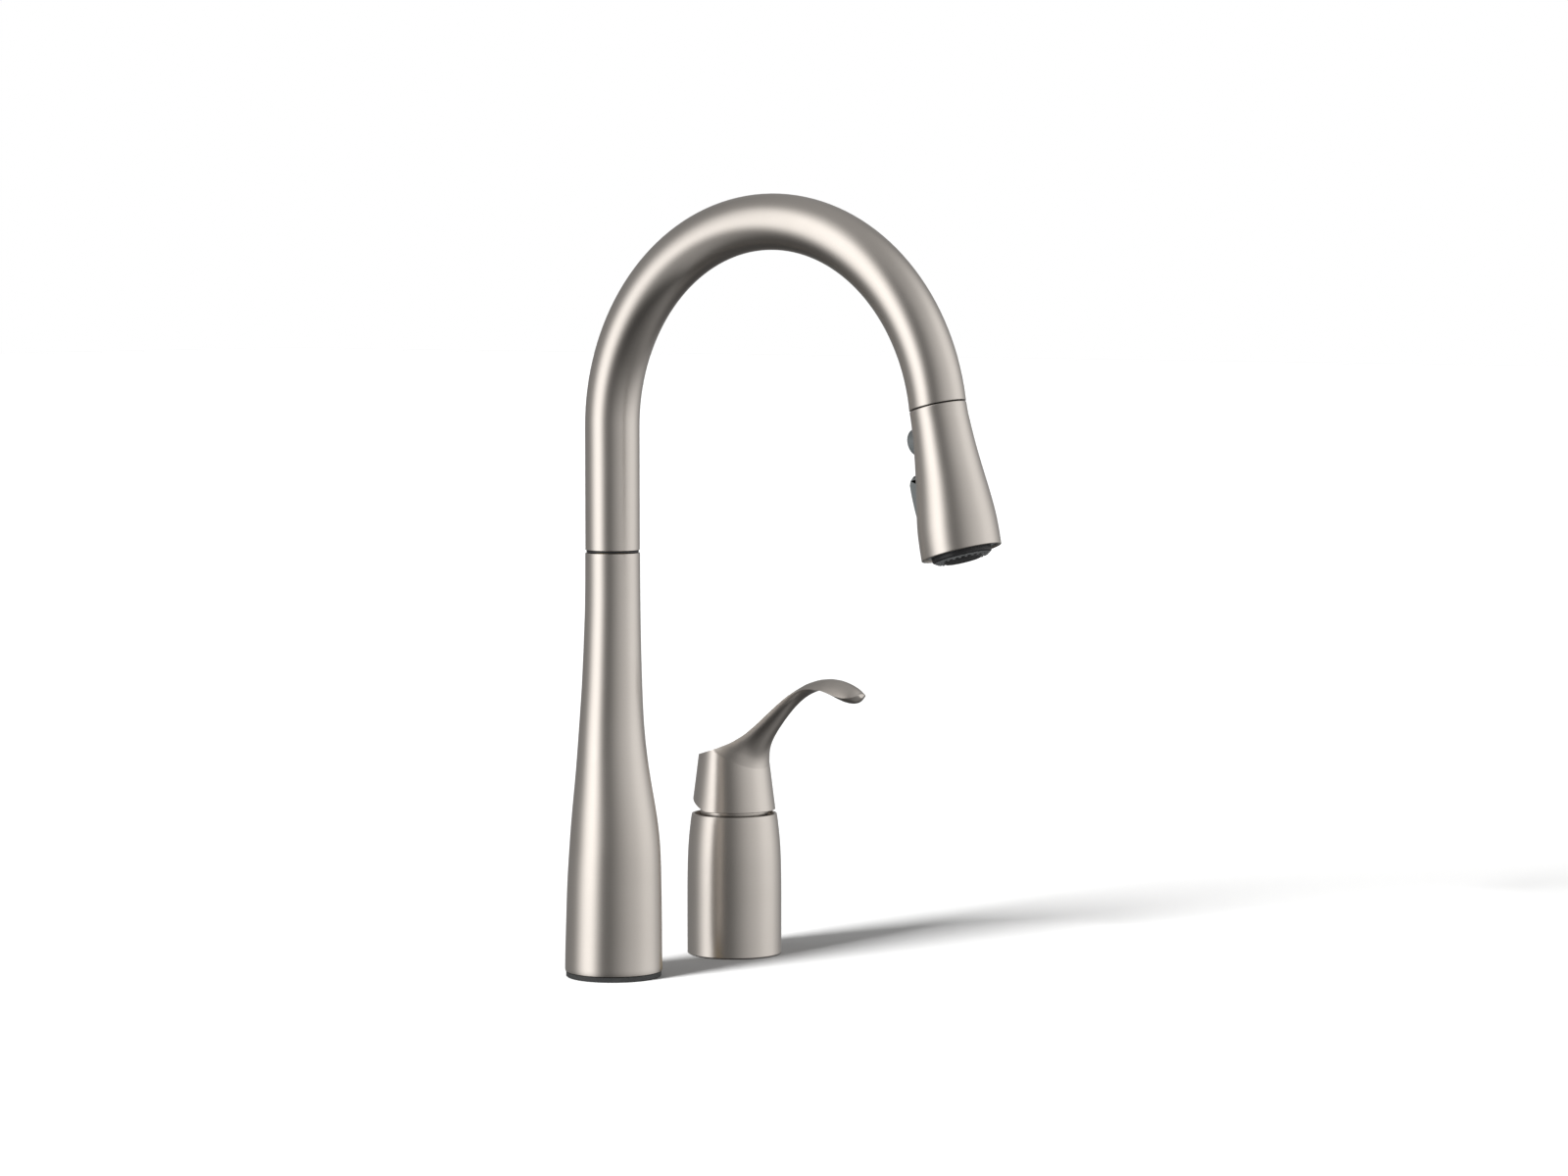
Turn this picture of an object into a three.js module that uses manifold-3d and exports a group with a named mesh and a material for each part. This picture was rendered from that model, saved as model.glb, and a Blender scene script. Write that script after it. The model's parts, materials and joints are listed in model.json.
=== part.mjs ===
// Pull-down kitchen faucet: a swivelling gooseneck spout on a flared column, and a separate mixing
// valve with a lever handle beside it. Millimetres, +Z up, origin on the deck under the column,
// spout towards -Y, valve towards +X.

import * as THREE from 'three';
import { mergeVertices } from 'three/addons/utils/BufferGeometryUtils.js';
import Module from 'manifold-3d';

const wasm = await Module();
wasm.setup();

// ---- clearances ----
const gap = 0.3;            // between pieces that touch
const slideGap = 0.4;       // around a piece that slides or turns
const seamGap = 0.7;        // open joint between spout end and sprayhead

// ---- deck and fixing hardware ----
const holeSpacing = 101.6;  // column centre to valve centre
const deckThickness = 12;
const shankRadius = 15.7;
const shankWall = 3.5;
const shankDrop = 62;       // how far the shank reaches under the deck line
const washerRadius = 27;
const rubberWasherHeight = 3;
const steelWasherHeight = 2;
const nutHeight = 10;
const nutAcrossCorners = 50;
const clampScrewRadius = 2.5;
const clampScrewOffset = 2.1; // nut metal between the shank bore and a clamp screw
const clampScrewHead = 4;
const clampHeadStep = 1.7;  // screw head beyond its shaft

// ---- spout column ----
const gasketHeight = 2.8;
const gasketRadius = 25.1;
const columnFootRadius = 25.7;
const columnNeckStep = 0.1;  // how far the neck stands proud of the tube above it
const columnTop = 223.9;
const columnNeckWall = 2.5;
const columnSocketDepth = 12;
const columnSocketTaper = 5;
const columnLean = 1;       // how far the flare drifts off the axis, back above and front below
const edgeBevel = 0.6;

// ---- swivel ----
const journalWall = 2.2;
const journalSeatWall = 2.4; // column metal round the journal seat, clearance included
const journalSeatDepth = 27;
const journalRise = 26;     // above the column top
const swivelRingHeight = 1;
const ringGap = 0.25;       // above and below the swivel ring
const oRingSection = 0.65;
const oRingHeights = [7, 14];
const clipHeight = 1.1;
const clipRise = 22.6;
const clipBite = 1;         // depth of the clip's groove
const sleeveSetback = 0.2;  // from the end of the tube

// ---- spout tube ----
const tubeRadius = 14.3;
const tubeWall = 1.4;
const spoutHeight = 410.3;  // top of the arc above the deck
const arcRadius = 106;      // centre line of the gooseneck
const arcAngle = 172.2;     // degrees of arc from the column to the sprayhead seam
const seamTilt = 14.2;      // degrees between the sprayhead axis and vertical
const sleeveWall = 1.3;
const sleeveGap = 0.3;      // running gap between sleeve and journal
const hoseRadius = 6;
const hoseDrop = 74;        // below the deck line
const hoseSplit = 31;       // along the tube from the seam to the hose joint
const hoseEndBack = 2;      // hose end short of that joint

// ---- dock ----
const dockInset = 1.1;      // between the tube's inner wall and the dock
const dockWall = 2.5;
const dockLength = 12;
const magnetLength = 3;
const magnetInset = 0.4;

// ---- sprayhead ----
const headLength = 74.4;
const headLipRadius = 20.2;
const headWall = 1.6;
const headDrift = 3.4;      // how far the lip centre sits off the sprayhead axis, towards the column
const lipTilt = 2.4;        // extra tilt of the lip, degrees
const collarWall = 1.4;
const collarRise = 9;
const collarFlangeGap = 0.8; // between the flange and the button below it
const collarBevel = 0.6;
const collarRingHeight = 2;
const nutRise = 6;          // hose nut above and below the seam
const ferruleTop = 16.5;
const coreInset = 3.3;      // between the top of the shell and the core
const coreBore = 4;
const coreFaceGap = 1.2;    // between the spray face and the core
const coreFlatReach = 3;    // flat for the controls, below the rocker
const coreFlatInset = 1.5;
const faceInset = 3.6;      // dark recess round the spray face
const faceDrop = 1.3;       // how far the spray face stands below the lip
const faceHeight = 9;
const nozzleCount = 24;
const nozzleInset = 2.8;    // from the rim of the face to the ring of nozzles
const nozzleRadius = 0.85;
const nozzleHeight = 0.7;
const nozzlePlateHeight = 0.4;
const nozzlePlateMargin = 2; // rubber outside the ring of nozzles
const facePartGap = 0.15;   // between the face and what is set on it
const aeratorInset = 5.6;   // from the rim of the face to the aerator
const aeratorHeight = 1.8;
const aeratorBevel = 0.6;
const aeratorDishRim = 1.4;
const aeratorDishDepth = 0.4;
const faceBore = 2;
const faceBevel = 0.5;
const faceRingRise = 2;     // above the lip
const faceRingHeight = 2.5;
const faceRingInset = 0.5;  // from the shell's inner wall

// ---- sprayhead controls ----
const buttonDepth = 14.7;   // below the seam, to the button centre
const buttonRadius = 7;
const buttonProud = 2.8;
const buttonInside = 5;     // from the back of the head to the button's inner end
const buttonBevel = 0.9;
const buttonTravel = 2;
const rockerTop = 31;
const rockerBottom = 55;
const rockerWidth = 11;
const rockerProud = 4.3;
const rockerShoulder = 3;   // below the rocker's top, where it stands proudest
const rockerTuck = 2;       // how far its inner corners draw in
const rockerPinRadius = 1.2;
const rockerPinInset = 3;   // from the back of the head to the pin
const rockerInside = 3;     // from the pin to the rocker's inner side
const pocketReach = 16;     // of the cuts for button and rocker

// ---- mixing valve ----
const valveGasketHeight = 0.8;
const valveSkirtWall = 2.4;  // rim of the barrel that hides the gasket
const valveRadius = 25.7;
const valveShoulderStep = 2.6;
const valveTop = 76.9;
const valveStraight = 39;
const valveWall = 5.4;
const lipDepth = 5;         // of the narrower mouth at the top of the barrel
const valveBodyDrop = 36.2; // below the top of the barrel
const cartridgeInset = 2.8; // between the barrel's bore and the cartridge
const cartridgeDrop = 13.9;
const cartridgeWell = 9.4;
const cartridgeWellDepth = 10;
const valveBodyRise = 3;    // above the shank's seat
const valveBodyBore = 3;
const neckInset = 7.2;      // from the barrel's outside to the neck
const neckWall = 1.9;
const neckRise = 5.7;
const supplyRadius = 4.7;
const supplyMouth = 1.9;
const supplyInset = 0.6;    // between a tube and the shank
const shortestSupply = 82;  // below the deck line
const fittingLength = 14;
const fittingNutHeight = 8;
const fittingStep = 0.8;    // fitting beyond its tube
const fittingNutStep = 1.6;
const fittingSpacing = 2;   // between the fittings of neighbouring tubes, along them

// ---- handle ----
const pivotDrop = 1.9;      // below the top of the barrel
const pivotPinRadius = 1.5;
const carrierRadius = 9;
const cheekInner = 3.8;
const cheekOuter = 7.4;
const cheekDepth = 9;
const cheekRise = 5;        // above the pivot pin
const carrierTop = 6.2;     // below the pivot pin
const carrierDrop = 9.6;    // into the cartridge's well
const carrierNutGap = 1.5;
const stemDrop = 4;         // below the pivot pin
const stemWidth = 7;
const stemDepth = 8;
const capGap = 2;           // between barrel and cap
const capInset = 3.3;       // from the barrel's outside to the foot of the cap
const stemRise = 19.1;      // above the foot of the cap
const capCavityRise = 22.1;
const capWall = 1.9;
const bossRadius = 6.5;
const bossRise = 7.1;
const backCutSlope = 0.44;  // rise per millimetre of the relief under the back of the cap
const backCutStart = 2.1;
const setScrewRadius = 2;
const setScrewRise = 14.1;
const setScrewLength = 7.4;
const plugLength = 2.2;
const plugInset = 1.8;      // from the foot of the cap to the outer end of the plug

// ---- looks ----
const satinNickel = { color: 0xbdb5aa, roughness: 0.3, metalness: 1 };
const brass = { color: 0xb08d4c, roughness: 0.35, metalness: 1 };
const steel = { color: 0x9a9a98, roughness: 0.35, metalness: 1 };
const darkRubber = { color: 0x2b2a28, roughness: 0.8, metalness: 0 };
const blackPlastic = { color: 0x151515, roughness: 0.45, metalness: 0 };
const greyPlastic = { color: 0x6a7072, roughness: 0.5, metalness: 0 };
const whitePlastic = { color: 0xd9d8d2, roughness: 0.5, metalness: 0 };
const braid = { color: 0x8f9092, roughness: 0.6, metalness: 0.3 };
const copper = { color: 0xb87350, roughness: 0.35, metalness: 1 };

const fine = 28;
const medium = 18;
const coarse = 12;

// ---- geometry helpers ----
const radians = THREE.MathUtils.degToRad;

function geometryFrom(vertices, triangles) {
  const geometry = new THREE.BufferGeometry();
  geometry.setAttribute('position', new THREE.Float32BufferAttribute(vertices, 3));
  geometry.setIndex(triangles);
  return geometry;
}

// One merged, indexed copy with no zero-area triangles.
function welded(geometry) {
  const bare = geometry.clone();
  bare.deleteAttribute('normal');
  bare.deleteAttribute('uv');
  const merged = mergeVertices(bare, 1e-4);
  const index = merged.index.array;
  const kept = [];
  for (let i = 0; i < index.length; i += 3) {
    const [a, b, c] = index.slice(i, i + 3);
    if (a !== b && b !== c && c !== a) kept.push(a, b, c);
  }
  return geometryFrom(merged.attributes.position.array, kept);
}

function toSolid(geometry) {
  const bare = welded(geometry);
  return new wasm.Manifold(new wasm.Mesh({
    numProp: 3,
    vertProperties: new Float32Array(bare.attributes.position.array),
    triVerts: new Uint32Array(bare.index.array),
  }));
}

function toGeometry(solid) {
  const mesh = solid.getMesh();
  return geometryFrom(Array.from(mesh.vertProperties), Array.from(mesh.triVerts));
}

function cut(geometry, ...tools) {
  return toGeometry(tools.reduce((rest, tool) => rest.subtract(toSolid(tool)), toSolid(geometry)));
}

function join(geometry, ...others) {
  return toGeometry(others.reduce((sum, other) => sum.add(toSolid(other)), toSolid(geometry)));
}

// Turned piece: a closed outline of [radius, height] pairs, counter-clockwise.
function turned(outline, segments = medium) {
  const onAxis = outline[0][0] === 0 && outline.at(-1)[0] === 0;
  const points = outline.map(([radius, height]) => new THREE.Vector2(radius, height));
  if (!onAxis) points.push(points[0].clone());
  return welded(new THREE.LatheGeometry(points, segments).rotateX(Math.PI / 2));
}

function washer(inner, outer, bottom, top, segments = medium) {
  return turned([[inner, bottom], [outer, bottom], [outer, top], [inner, top]], segments);
}

function rod(radius, bottom, top, segments = medium) {
  return turned([[0, bottom], [radius, bottom], [radius, top], [0, top]], segments);
}

function block(width, depth, bottom, top) {
  return new THREE.BoxGeometry(width, depth, top - bottom).translate(0, 0, (top + bottom) / 2);
}

// A bar along X with a round section.
function crossBar(radius, length, segments = coarse) {
  return rod(radius, -length / 2, length / 2, segments).rotateY(Math.PI / 2);
}

// Skin over a chain of rings: capped at both ends, or closed on itself like a pipe wall.
function skin(rings, closed = false) {
  const vertices = [];
  const triangles = [];
  const place = (point) => vertices.push(point.x, point.y, point.z) / 3 - 1;
  const placed = rings.map((ring) => ring.map(place));
  const bridge = (from, to) => from.forEach((_, i) => {
    const next = (i + 1) % from.length;
    triangles.push(from[i], from[next], to[next], from[i], to[next], to[i]);
  });
  const cap = (ring, points, facingUp) => {
    const middle = points.reduce((sum, point) => sum.add(point), new THREE.Vector3());
    const hub = place(middle.divideScalar(points.length));
    ring.forEach((corner, i) => {
      const next = ring[(i + 1) % ring.length];
      triangles.push(...(facingUp ? [hub, corner, next] : [hub, next, corner]));
    });
  };
  placed.slice(1).forEach((ring, i) => bridge(placed[i], ring));
  if (closed) {
    bridge(placed.at(-1), placed[0]);
  } else {
    cap(placed[0], rings[0], false);
    cap(placed.at(-1), rings.at(-1), true);
  }
  return geometryFrom(vertices, triangles);
}

function circle(centre, acrossX, acrossY, radius, segments) {
  return Array.from({ length: segments }, (_, i) => {
    const angle = (2 * Math.PI * i) / segments;
    return centre.clone()
      .addScaledVector(acrossX, radius * Math.cos(angle))
      .addScaledVector(acrossY, radius * Math.sin(angle));
  });
}

const alongX = new THREE.Vector3(1, 0, 0);
const alongY = new THREE.Vector3(0, 1, 0);

function levelCircle(x, y, z, radius, segments) {
  return circle(new THREE.Vector3(x, y, z), alongX, alongY, radius, segments);
}

const model = new THREE.Group();

function addMesh(parent, name, geometry, look) {
  const mesh = new THREE.Mesh(geometry, new THREE.MeshStandardMaterial(look));
  mesh.name = name;
  parent.add(mesh);
  return mesh;
}

// ---- fixing hardware, the same under the column and the valve ----
const shankBore = shankRadius - shankWall;
const clampScrewCircle = shankRadius + gap + clampScrewOffset + clampScrewRadius;
const rubberTop = -deckThickness;
const steelTop = rubberTop - rubberWasherHeight - gap;
const nutTop = steelTop - steelWasherHeight - gap;

function shank(top) {
  return turned([
    [shankBore, -shankDrop],
    [shankRadius - 1, -shankDrop],
    [shankRadius, -shankDrop + 1],
    [shankRadius, top],
    [shankBore, top],
  ], fine);
}

function rubberWasher() {
  return washer(shankRadius + gap, washerRadius, rubberTop - rubberWasherHeight, rubberTop);
}

function steelWasher() {
  return washer(shankRadius + gap, washerRadius, steelTop - steelWasherHeight, steelTop);
}

function clampPlaces() {
  return [0, Math.PI].map((angle) => [
    clampScrewCircle * Math.cos(angle),
    clampScrewCircle * Math.sin(angle),
  ]);
}

function mountingNut() {
  const hexagon = rod(nutAcrossCorners / 2, nutTop - nutHeight, nutTop, 6);
  const bore = rod(shankRadius + gap, nutTop - nutHeight - 1, nutTop + 1, fine);
  const holes = clampPlaces().map(([x, y]) => (
    rod(clampScrewRadius + gap, nutTop - nutHeight - 1, nutTop + 1, coarse).translate(x, y, 0)
  ));
  return cut(hexagon, bore, ...holes);
}

function clampScrew(x, y) {
  const headTop = nutTop - nutHeight - gap;
  const headRadius = clampScrewRadius + clampHeadStep;
  return turned([
    [0, headTop - clampScrewHead],
    [headRadius, headTop - clampScrewHead],
    [headRadius, headTop],
    [clampScrewRadius, headTop],
    [clampScrewRadius, nutTop],
    [0, nutTop],
  ], coarse).translate(x, y, 0);
}

function addFixing(parent, unit, shankTop) {
  addMesh(parent, `${unit}_shank`, shank(shankTop), brass);
  addMesh(parent, `${unit}_rubber_washer`, rubberWasher(), darkRubber);
  addMesh(parent, `${unit}_steel_washer`, steelWasher(), steel);
  addMesh(parent, `${unit}_nut`, mountingNut(), brass);
  clampPlaces().forEach(([x, y], i) => {
    addMesh(parent, `${unit}_clamp_screw_${i + 1}`, clampScrew(x, y), steel);
  });
}

// ---- spout column ----
const columnBottom = gasketHeight + gap;
const columnNeckRadius = tubeRadius + columnNeckStep;
const columnBore = columnNeckRadius - columnNeckWall;
const columnRise = columnTop - columnBottom;

function baseGasket() {
  return turned([
    [shankRadius + gap, 0],
    [gasketRadius - 1, 0],
    [gasketRadius, 1],
    [gasketRadius, gasketHeight],
    [shankRadius + gap, gasketHeight],
  ], fine);
}

// Radius of the column at a share of its height: straight foot, waist, then a slim neck.
const columnFlare = new THREE.SplineCurve([
  [0, 1], [0.17, 0.955], [0.31, 0.84], [0.4, 0.64], [0.5, 0.39],
  [0.63, 0.19], [0.78, 0.07], [0.9, 0.01], [1, 0],
].map(([share, flare]) => new THREE.Vector2(share, flare)));

const columnDrift = new THREE.SplineCurve([
  [0, 0], [0.15, -0.4], [0.3, -1], [0.4, -0.45], [0.46, 0.3], [0.57, 0.95], [0.75, 0.5], [0.88, 0], [1, 0],
].map(([share, drift]) => new THREE.Vector2(share, drift)));

function columnRing(step) {
  const { x: share, y: flare } = columnFlare.getPoint(step);
  const radius = columnNeckRadius + flare * (columnFootRadius - columnNeckRadius);
  const drift = columnLean * columnDrift.getPoint(step).y;
  return levelCircle(0, drift, columnBottom + share * columnRise, radius, fine);
}

function spoutColumn() {
  const steps = 14;
  const rings = [levelCircle(0, 0, columnBottom, columnFootRadius - edgeBevel / 2, fine)];
  rings.push(levelCircle(0, 0, columnBottom + edgeBevel / 2, columnFootRadius, fine));
  for (let i = 1; i < steps; i += 1) rings.push(columnRing(i / steps));
  rings.push(levelCircle(0, 0, columnTop - edgeBevel, columnNeckRadius, fine));
  rings.push(levelCircle(0, 0, columnTop, columnNeckRadius - edgeBevel, fine));
  const inside = turned([
    [0, columnBottom - 1],
    [shankRadius + gap, columnBottom - 1],
    [shankRadius + gap, columnBottom + columnSocketDepth],
    [columnBore, columnBottom + columnSocketDepth + columnSocketTaper],
    [columnBore, columnTop - journalSeatDepth],
    [journalSeatRadius + gap, columnTop - journalSeatDepth],
    [journalSeatRadius + gap, columnTop + 1],
    [0, columnTop + 1],
  ], medium);
  return cut(skin(rings), inside);
}

// ---- swivel ----
const spoutBottom = columnTop + swivelRingHeight + 2 * ringGap;
const tubeBore = tubeRadius - tubeWall;
const sleeveOuter = tubeBore - gap;
const journalRadius = sleeveOuter - sleeveWall - sleeveGap;
const journalBore = journalRadius - journalWall;
const journalSeatRadius = columnNeckRadius - journalSeatWall;
const clipRadius = sleeveOuter - slideGap;

function swivelJournal() {
  const groove = oRingSection * 2 + gap;
  const outline = [
    [journalBore, columnTop - journalSeatDepth + gap],
    [journalSeatRadius, columnTop - journalSeatDepth + gap],
    [journalSeatRadius, columnTop - gap],
    [journalRadius, columnTop - gap],
  ];
  const notch = (height, depth, width) => outline.push(
    [journalRadius, height - width / 2],
    [journalRadius - depth, height - width / 2],
    [journalRadius - depth, height + width / 2],
    [journalRadius, height + width / 2],
  );
  oRingHeights.forEach((height) => notch(columnTop + height, oRingSection * 2, groove));
  notch(columnTop + clipRise, clipBite, clipHeight + 2 * gap);
  outline.push([journalRadius, columnTop + journalRise], [journalBore, columnTop + journalRise]);
  return turned(outline);
}

function oRing(height) {
  return welded(new THREE.TorusGeometry(journalRadius - oRingSection + 0.2, oRingSection, 8, medium))
    .translate(0, 0, columnTop + height);
}

function swivelRing() {
  const bottom = columnTop + ringGap;
  const outer = columnNeckRadius - edgeBevel;
  return washer(journalRadius + slideGap, outer, bottom, bottom + swivelRingHeight, fine);
}

function swivelClip() {
  const bottom = columnTop + clipRise - clipHeight / 2;
  return washer(journalRadius - clipBite + gap, clipRadius, bottom, bottom + clipHeight);
}

// ---- spout ----
const arcHeight = spoutHeight - arcRadius - tubeRadius;
const arcCentre = new THREE.Vector3(0, -arcRadius, arcHeight);

// Centre, outward direction and travel direction on the gooseneck at an angle in degrees.
function onArc(degrees) {
  const angle = radians(degrees);
  const outward = new THREE.Vector3(0, Math.cos(angle), Math.sin(angle));
  const travel = new THREE.Vector3(0, -Math.sin(angle), Math.cos(angle));
  return { centre: arcCentre.clone().addScaledVector(outward, arcRadius), outward, travel };
}

const seam = onArc(arcAngle).centre;
const headUp = new THREE.Vector3(0, Math.sin(radians(seamTilt)), Math.cos(radians(seamTilt)));

// Ring around the arc, slid along the tube onto the seam plane when it is the last one.
function arcRing(degrees, radius, segments, standOff) {
  const { centre, outward, travel } = onArc(degrees);
  const ring = circle(centre, alongX, outward, radius, segments);
  if (standOff === undefined) return ring;
  return ring.map((point) => {
    const height = point.clone().sub(seam).dot(headUp) - standOff;
    return point.addScaledVector(travel, -height / travel.dot(headUp));
  });
}

function arcRings(radius, start, end, steps, segments, standOff) {
  const rings = [];
  for (let i = 0; i <= steps; i += 1) {
    const last = i === steps;
    rings.push(arcRing(start + ((end - start) * i) / steps, radius, segments, last ? standOff : undefined));
  }
  return rings;
}

function spoutTube() {
  const segments = 24;
  const steps = 12;
  const crest = 90;
  const outer = [
    levelCircle(0, 0, spoutBottom, tubeRadius - edgeBevel, segments),
    levelCircle(0, 0, spoutBottom + edgeBevel, tubeRadius, segments),
    ...arcRings(tubeRadius, 0, crest, steps, segments),
    ...arcRings(tubeRadius, crest, arcAngle, steps, segments, seamGap / 2).slice(1),
  ];
  const inner = [
    levelCircle(0, 0, spoutBottom, tubeBore, segments),
    ...arcRings(tubeBore, 0, crest, steps, segments),
    ...arcRings(tubeBore, crest, arcAngle, steps, segments, seamGap / 2).slice(1),
  ];
  return skin([...outer, ...inner.reverse()], true);
}

function spoutSleeve() {
  const top = columnTop + clipRise - clipHeight / 2 - gap;
  return washer(sleeveOuter - sleeveWall, sleeveOuter, spoutBottom + sleeveSetback, top, fine);
}

function hoseInSpout() {
  const segments = 12;
  const end = arcAngle - THREE.MathUtils.radToDeg(hoseSplit / arcRadius);
  const rings = [
    levelCircle(0, 0, -hoseDrop, hoseRadius, segments),
    ...arcRings(hoseRadius, 0, end, 20, segments),
  ];
  return skin(rings);
}

// ---- sprayhead, built about its own axis: seam at zero, +Z back up the spout, +Y to the column ----
const headTopRadius = tubeRadius;
const dockOuter = tubeBore - dockInset;
const dockBore = dockOuter - dockWall;
const collarRadius = dockBore - slideGap;
const collarBore = collarRadius - collarWall;
const collarFlangeDepth = buttonDepth - buttonRadius - collarFlangeGap;
const coreRadius = headTopRadius - coreInset;
const headFlare = new THREE.SplineCurve([
  [0, 0], [0.16, 0.08], [0.35, 0.27], [0.56, 0.61], [0.76, 0.93], [0.88, 1.01], [1, 1],
].map(([share, flare]) => new THREE.Vector2(share, flare)));

function headShape(share) {
  const flare = headFlare.getPoint(share).y;
  return {
    radius: headTopRadius + flare * (headLipRadius - headTopRadius),
    drift: headDrift * headFlare.getPoint(share).x,
    depth: headLength * headFlare.getPoint(share).x,
    tilt: radians(lipTilt) * headFlare.getPoint(share).x,
  };
}

function headRing(share, inset, segments) {
  const { radius, drift, depth, tilt } = headShape(share);
  const along = new THREE.Vector3(0, Math.cos(tilt), -Math.sin(tilt));
  const centre = new THREE.Vector3(0, drift, -Math.max(depth, seamGap / 2));
  return circle(centre, alongX, along, radius - inset, segments);
}

// How far the back of the head stands from its axis at a depth below the seam.
function headBack(depth) {
  const { radius, drift } = headShape(depth / headLength);
  return radius + drift;
}

function buttonPocket() {
  return rod(buttonRadius + slideGap, -pocketReach / 2, pocketReach / 2, medium)
    .rotateX(-Math.PI / 2)
    .translate(0, headBack(buttonDepth), -buttonDepth);
}

function rockerPocket() {
  const length = rockerBottom - rockerTop + 3 * slideGap;
  return new THREE.BoxGeometry(rockerWidth + 2 * slideGap, pocketReach, length)
    .translate(0, headBack(rockerTop), -(rockerTop + rockerBottom) / 2);
}

function sprayShell() {
  const shares = [1, 0.96, 0.85, 0.72, 0.58, 0.44, 0.3, 0.16, 0];
  const outer = shares.map((share) => headRing(share, 0, fine));
  const inner = shares.map((share) => headRing(share, headWall, fine));
  const shell = skin([...outer, ...inner.reverse()], true);
  return cut(shell, buttonPocket(), rockerPocket());
}

function dockAdapter() {
  return washer(dockBore, dockOuter, seamGap / 2 + gap, seamGap / 2 + gap + dockLength);
}

const magnetBottom = seamGap / 2 + 2 * gap + dockLength;

function dockMagnet() {
  return washer(dockBore, dockOuter - magnetInset, magnetBottom, magnetBottom + magnetLength);
}

function dockingCollar() {
  return turned([
    [collarBore, -collarFlangeDepth],
    [headTopRadius - headWall - gap, -collarFlangeDepth],
    [headTopRadius - headWall - gap, -seamGap],
    [collarRadius, -seamGap],
    [collarRadius, collarRise - collarBevel],
    [collarRadius - collarBevel, collarRise],
    [collarBore, collarRise],
  ]);
}

function collarRing() {
  const bottom = collarRise + gap;
  return washer(collarBore + gap / 2, collarRadius - gap, bottom, bottom + collarRingHeight);
}

function hoseNut() {
  const nutRadius = collarBore - slideGap;
  return turned([
    [0, -nutRise],
    [nutRadius - collarBevel, -nutRise],
    [nutRadius, collarBevel - nutRise],
    [nutRadius, nutRise],
    [0, nutRise],
  ]);
}

const ferruleRadius = collarBore - slideGap - gap;

function hoseFerrule() {
  return turned([
    [0, nutRise + gap],
    [ferruleRadius, nutRise + gap],
    [ferruleRadius, ferruleTop - collarBevel],
    [ferruleRadius - collarBevel, ferruleTop],
    [0, ferruleTop],
  ]);
}

function hoseEnd() {
  return rod(hoseRadius, ferruleTop + gap, hoseSplit - hoseEndBack, coarse);
}

function sprayCore() {
  const bottom = -headLength + faceHeight - faceDrop + coreFaceGap;
  const body = washer(coreBore, coreRadius, bottom, -collarFlangeDepth - gap);
  const seatDepth = headBack(buttonDepth) - buttonInside - buttonTravel - gap;
  const flat = block(3 * coreRadius, 2 * coreRadius, -rockerBottom - coreFlatReach, 0)
    .translate(0, seatDepth + coreRadius - coreFlatInset, 0);
  return cut(body, flat);
}

// ---- spray face, built about the centre of the lip with the lip plane at zero ----
const faceBottom = -faceDrop;
const faceRadius = headLipRadius - headWall - faceInset;
const nozzleCircle = faceRadius - nozzleInset;
const aeratorRadius = faceRadius - aeratorInset;

function faceRing() {
  const outer = headLipRadius - headWall - faceRingInset;
  return washer(faceRadius + gap, outer, faceRingRise, faceRingRise + faceRingHeight, fine);
}

function sprayFace() {
  return turned([
    [faceBore, faceBottom],
    [faceRadius - faceBevel, faceBottom],
    [faceRadius, faceBottom + faceBevel],
    [faceRadius, faceBottom + faceHeight],
    [faceBore, faceBottom + faceHeight],
  ], fine);
}

function nozzleRing() {
  const top = faceBottom - facePartGap;
  const bottom = top - nozzlePlateHeight;
  const plate = washer(aeratorRadius + gap, nozzleCircle + nozzlePlateMargin, bottom, top, fine);
  const bumps = Array.from({ length: nozzleCount }, (_, i) => {
    const angle = (2 * Math.PI * i) / nozzleCount;
    return turned([
      [0, bottom - nozzleHeight],
      [nozzleRadius * 0.7, bottom - nozzleHeight],
      [nozzleRadius, bottom + nozzlePlateHeight / 2],
      [0, bottom + nozzlePlateHeight / 2],
    ], 8).translate(nozzleCircle * Math.cos(angle), nozzleCircle * Math.sin(angle), 0);
  });
  return join(plate, ...bumps);
}

function aerator() {
  const top = faceBottom - facePartGap;
  const bottom = top - aeratorHeight;
  return turned([
    [0, bottom + aeratorDishDepth],
    [aeratorRadius - aeratorDishRim, bottom + aeratorDishDepth],
    [aeratorRadius - aeratorDishRim, bottom],
    [aeratorRadius - aeratorBevel, bottom],
    [aeratorRadius, bottom + aeratorBevel],
    [aeratorRadius, top],
    [0, top],
  ], medium);
}

function modeButton() {
  const back = headBack(buttonDepth) - buttonInside;
  const front = headBack(buttonDepth) + buttonProud;
  return turned([
    [0, back],
    [buttonRadius, back],
    [buttonRadius, front - buttonBevel],
    [buttonRadius - buttonBevel, front],
    [0, front],
  ]).rotateX(-Math.PI / 2).translate(0, 0, -buttonDepth);
}

const rockerMiddle = (rockerTop + rockerBottom) / 2;
const rockerPivot = { y: headBack(rockerMiddle) - rockerPinInset, z: -rockerMiddle };

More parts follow.
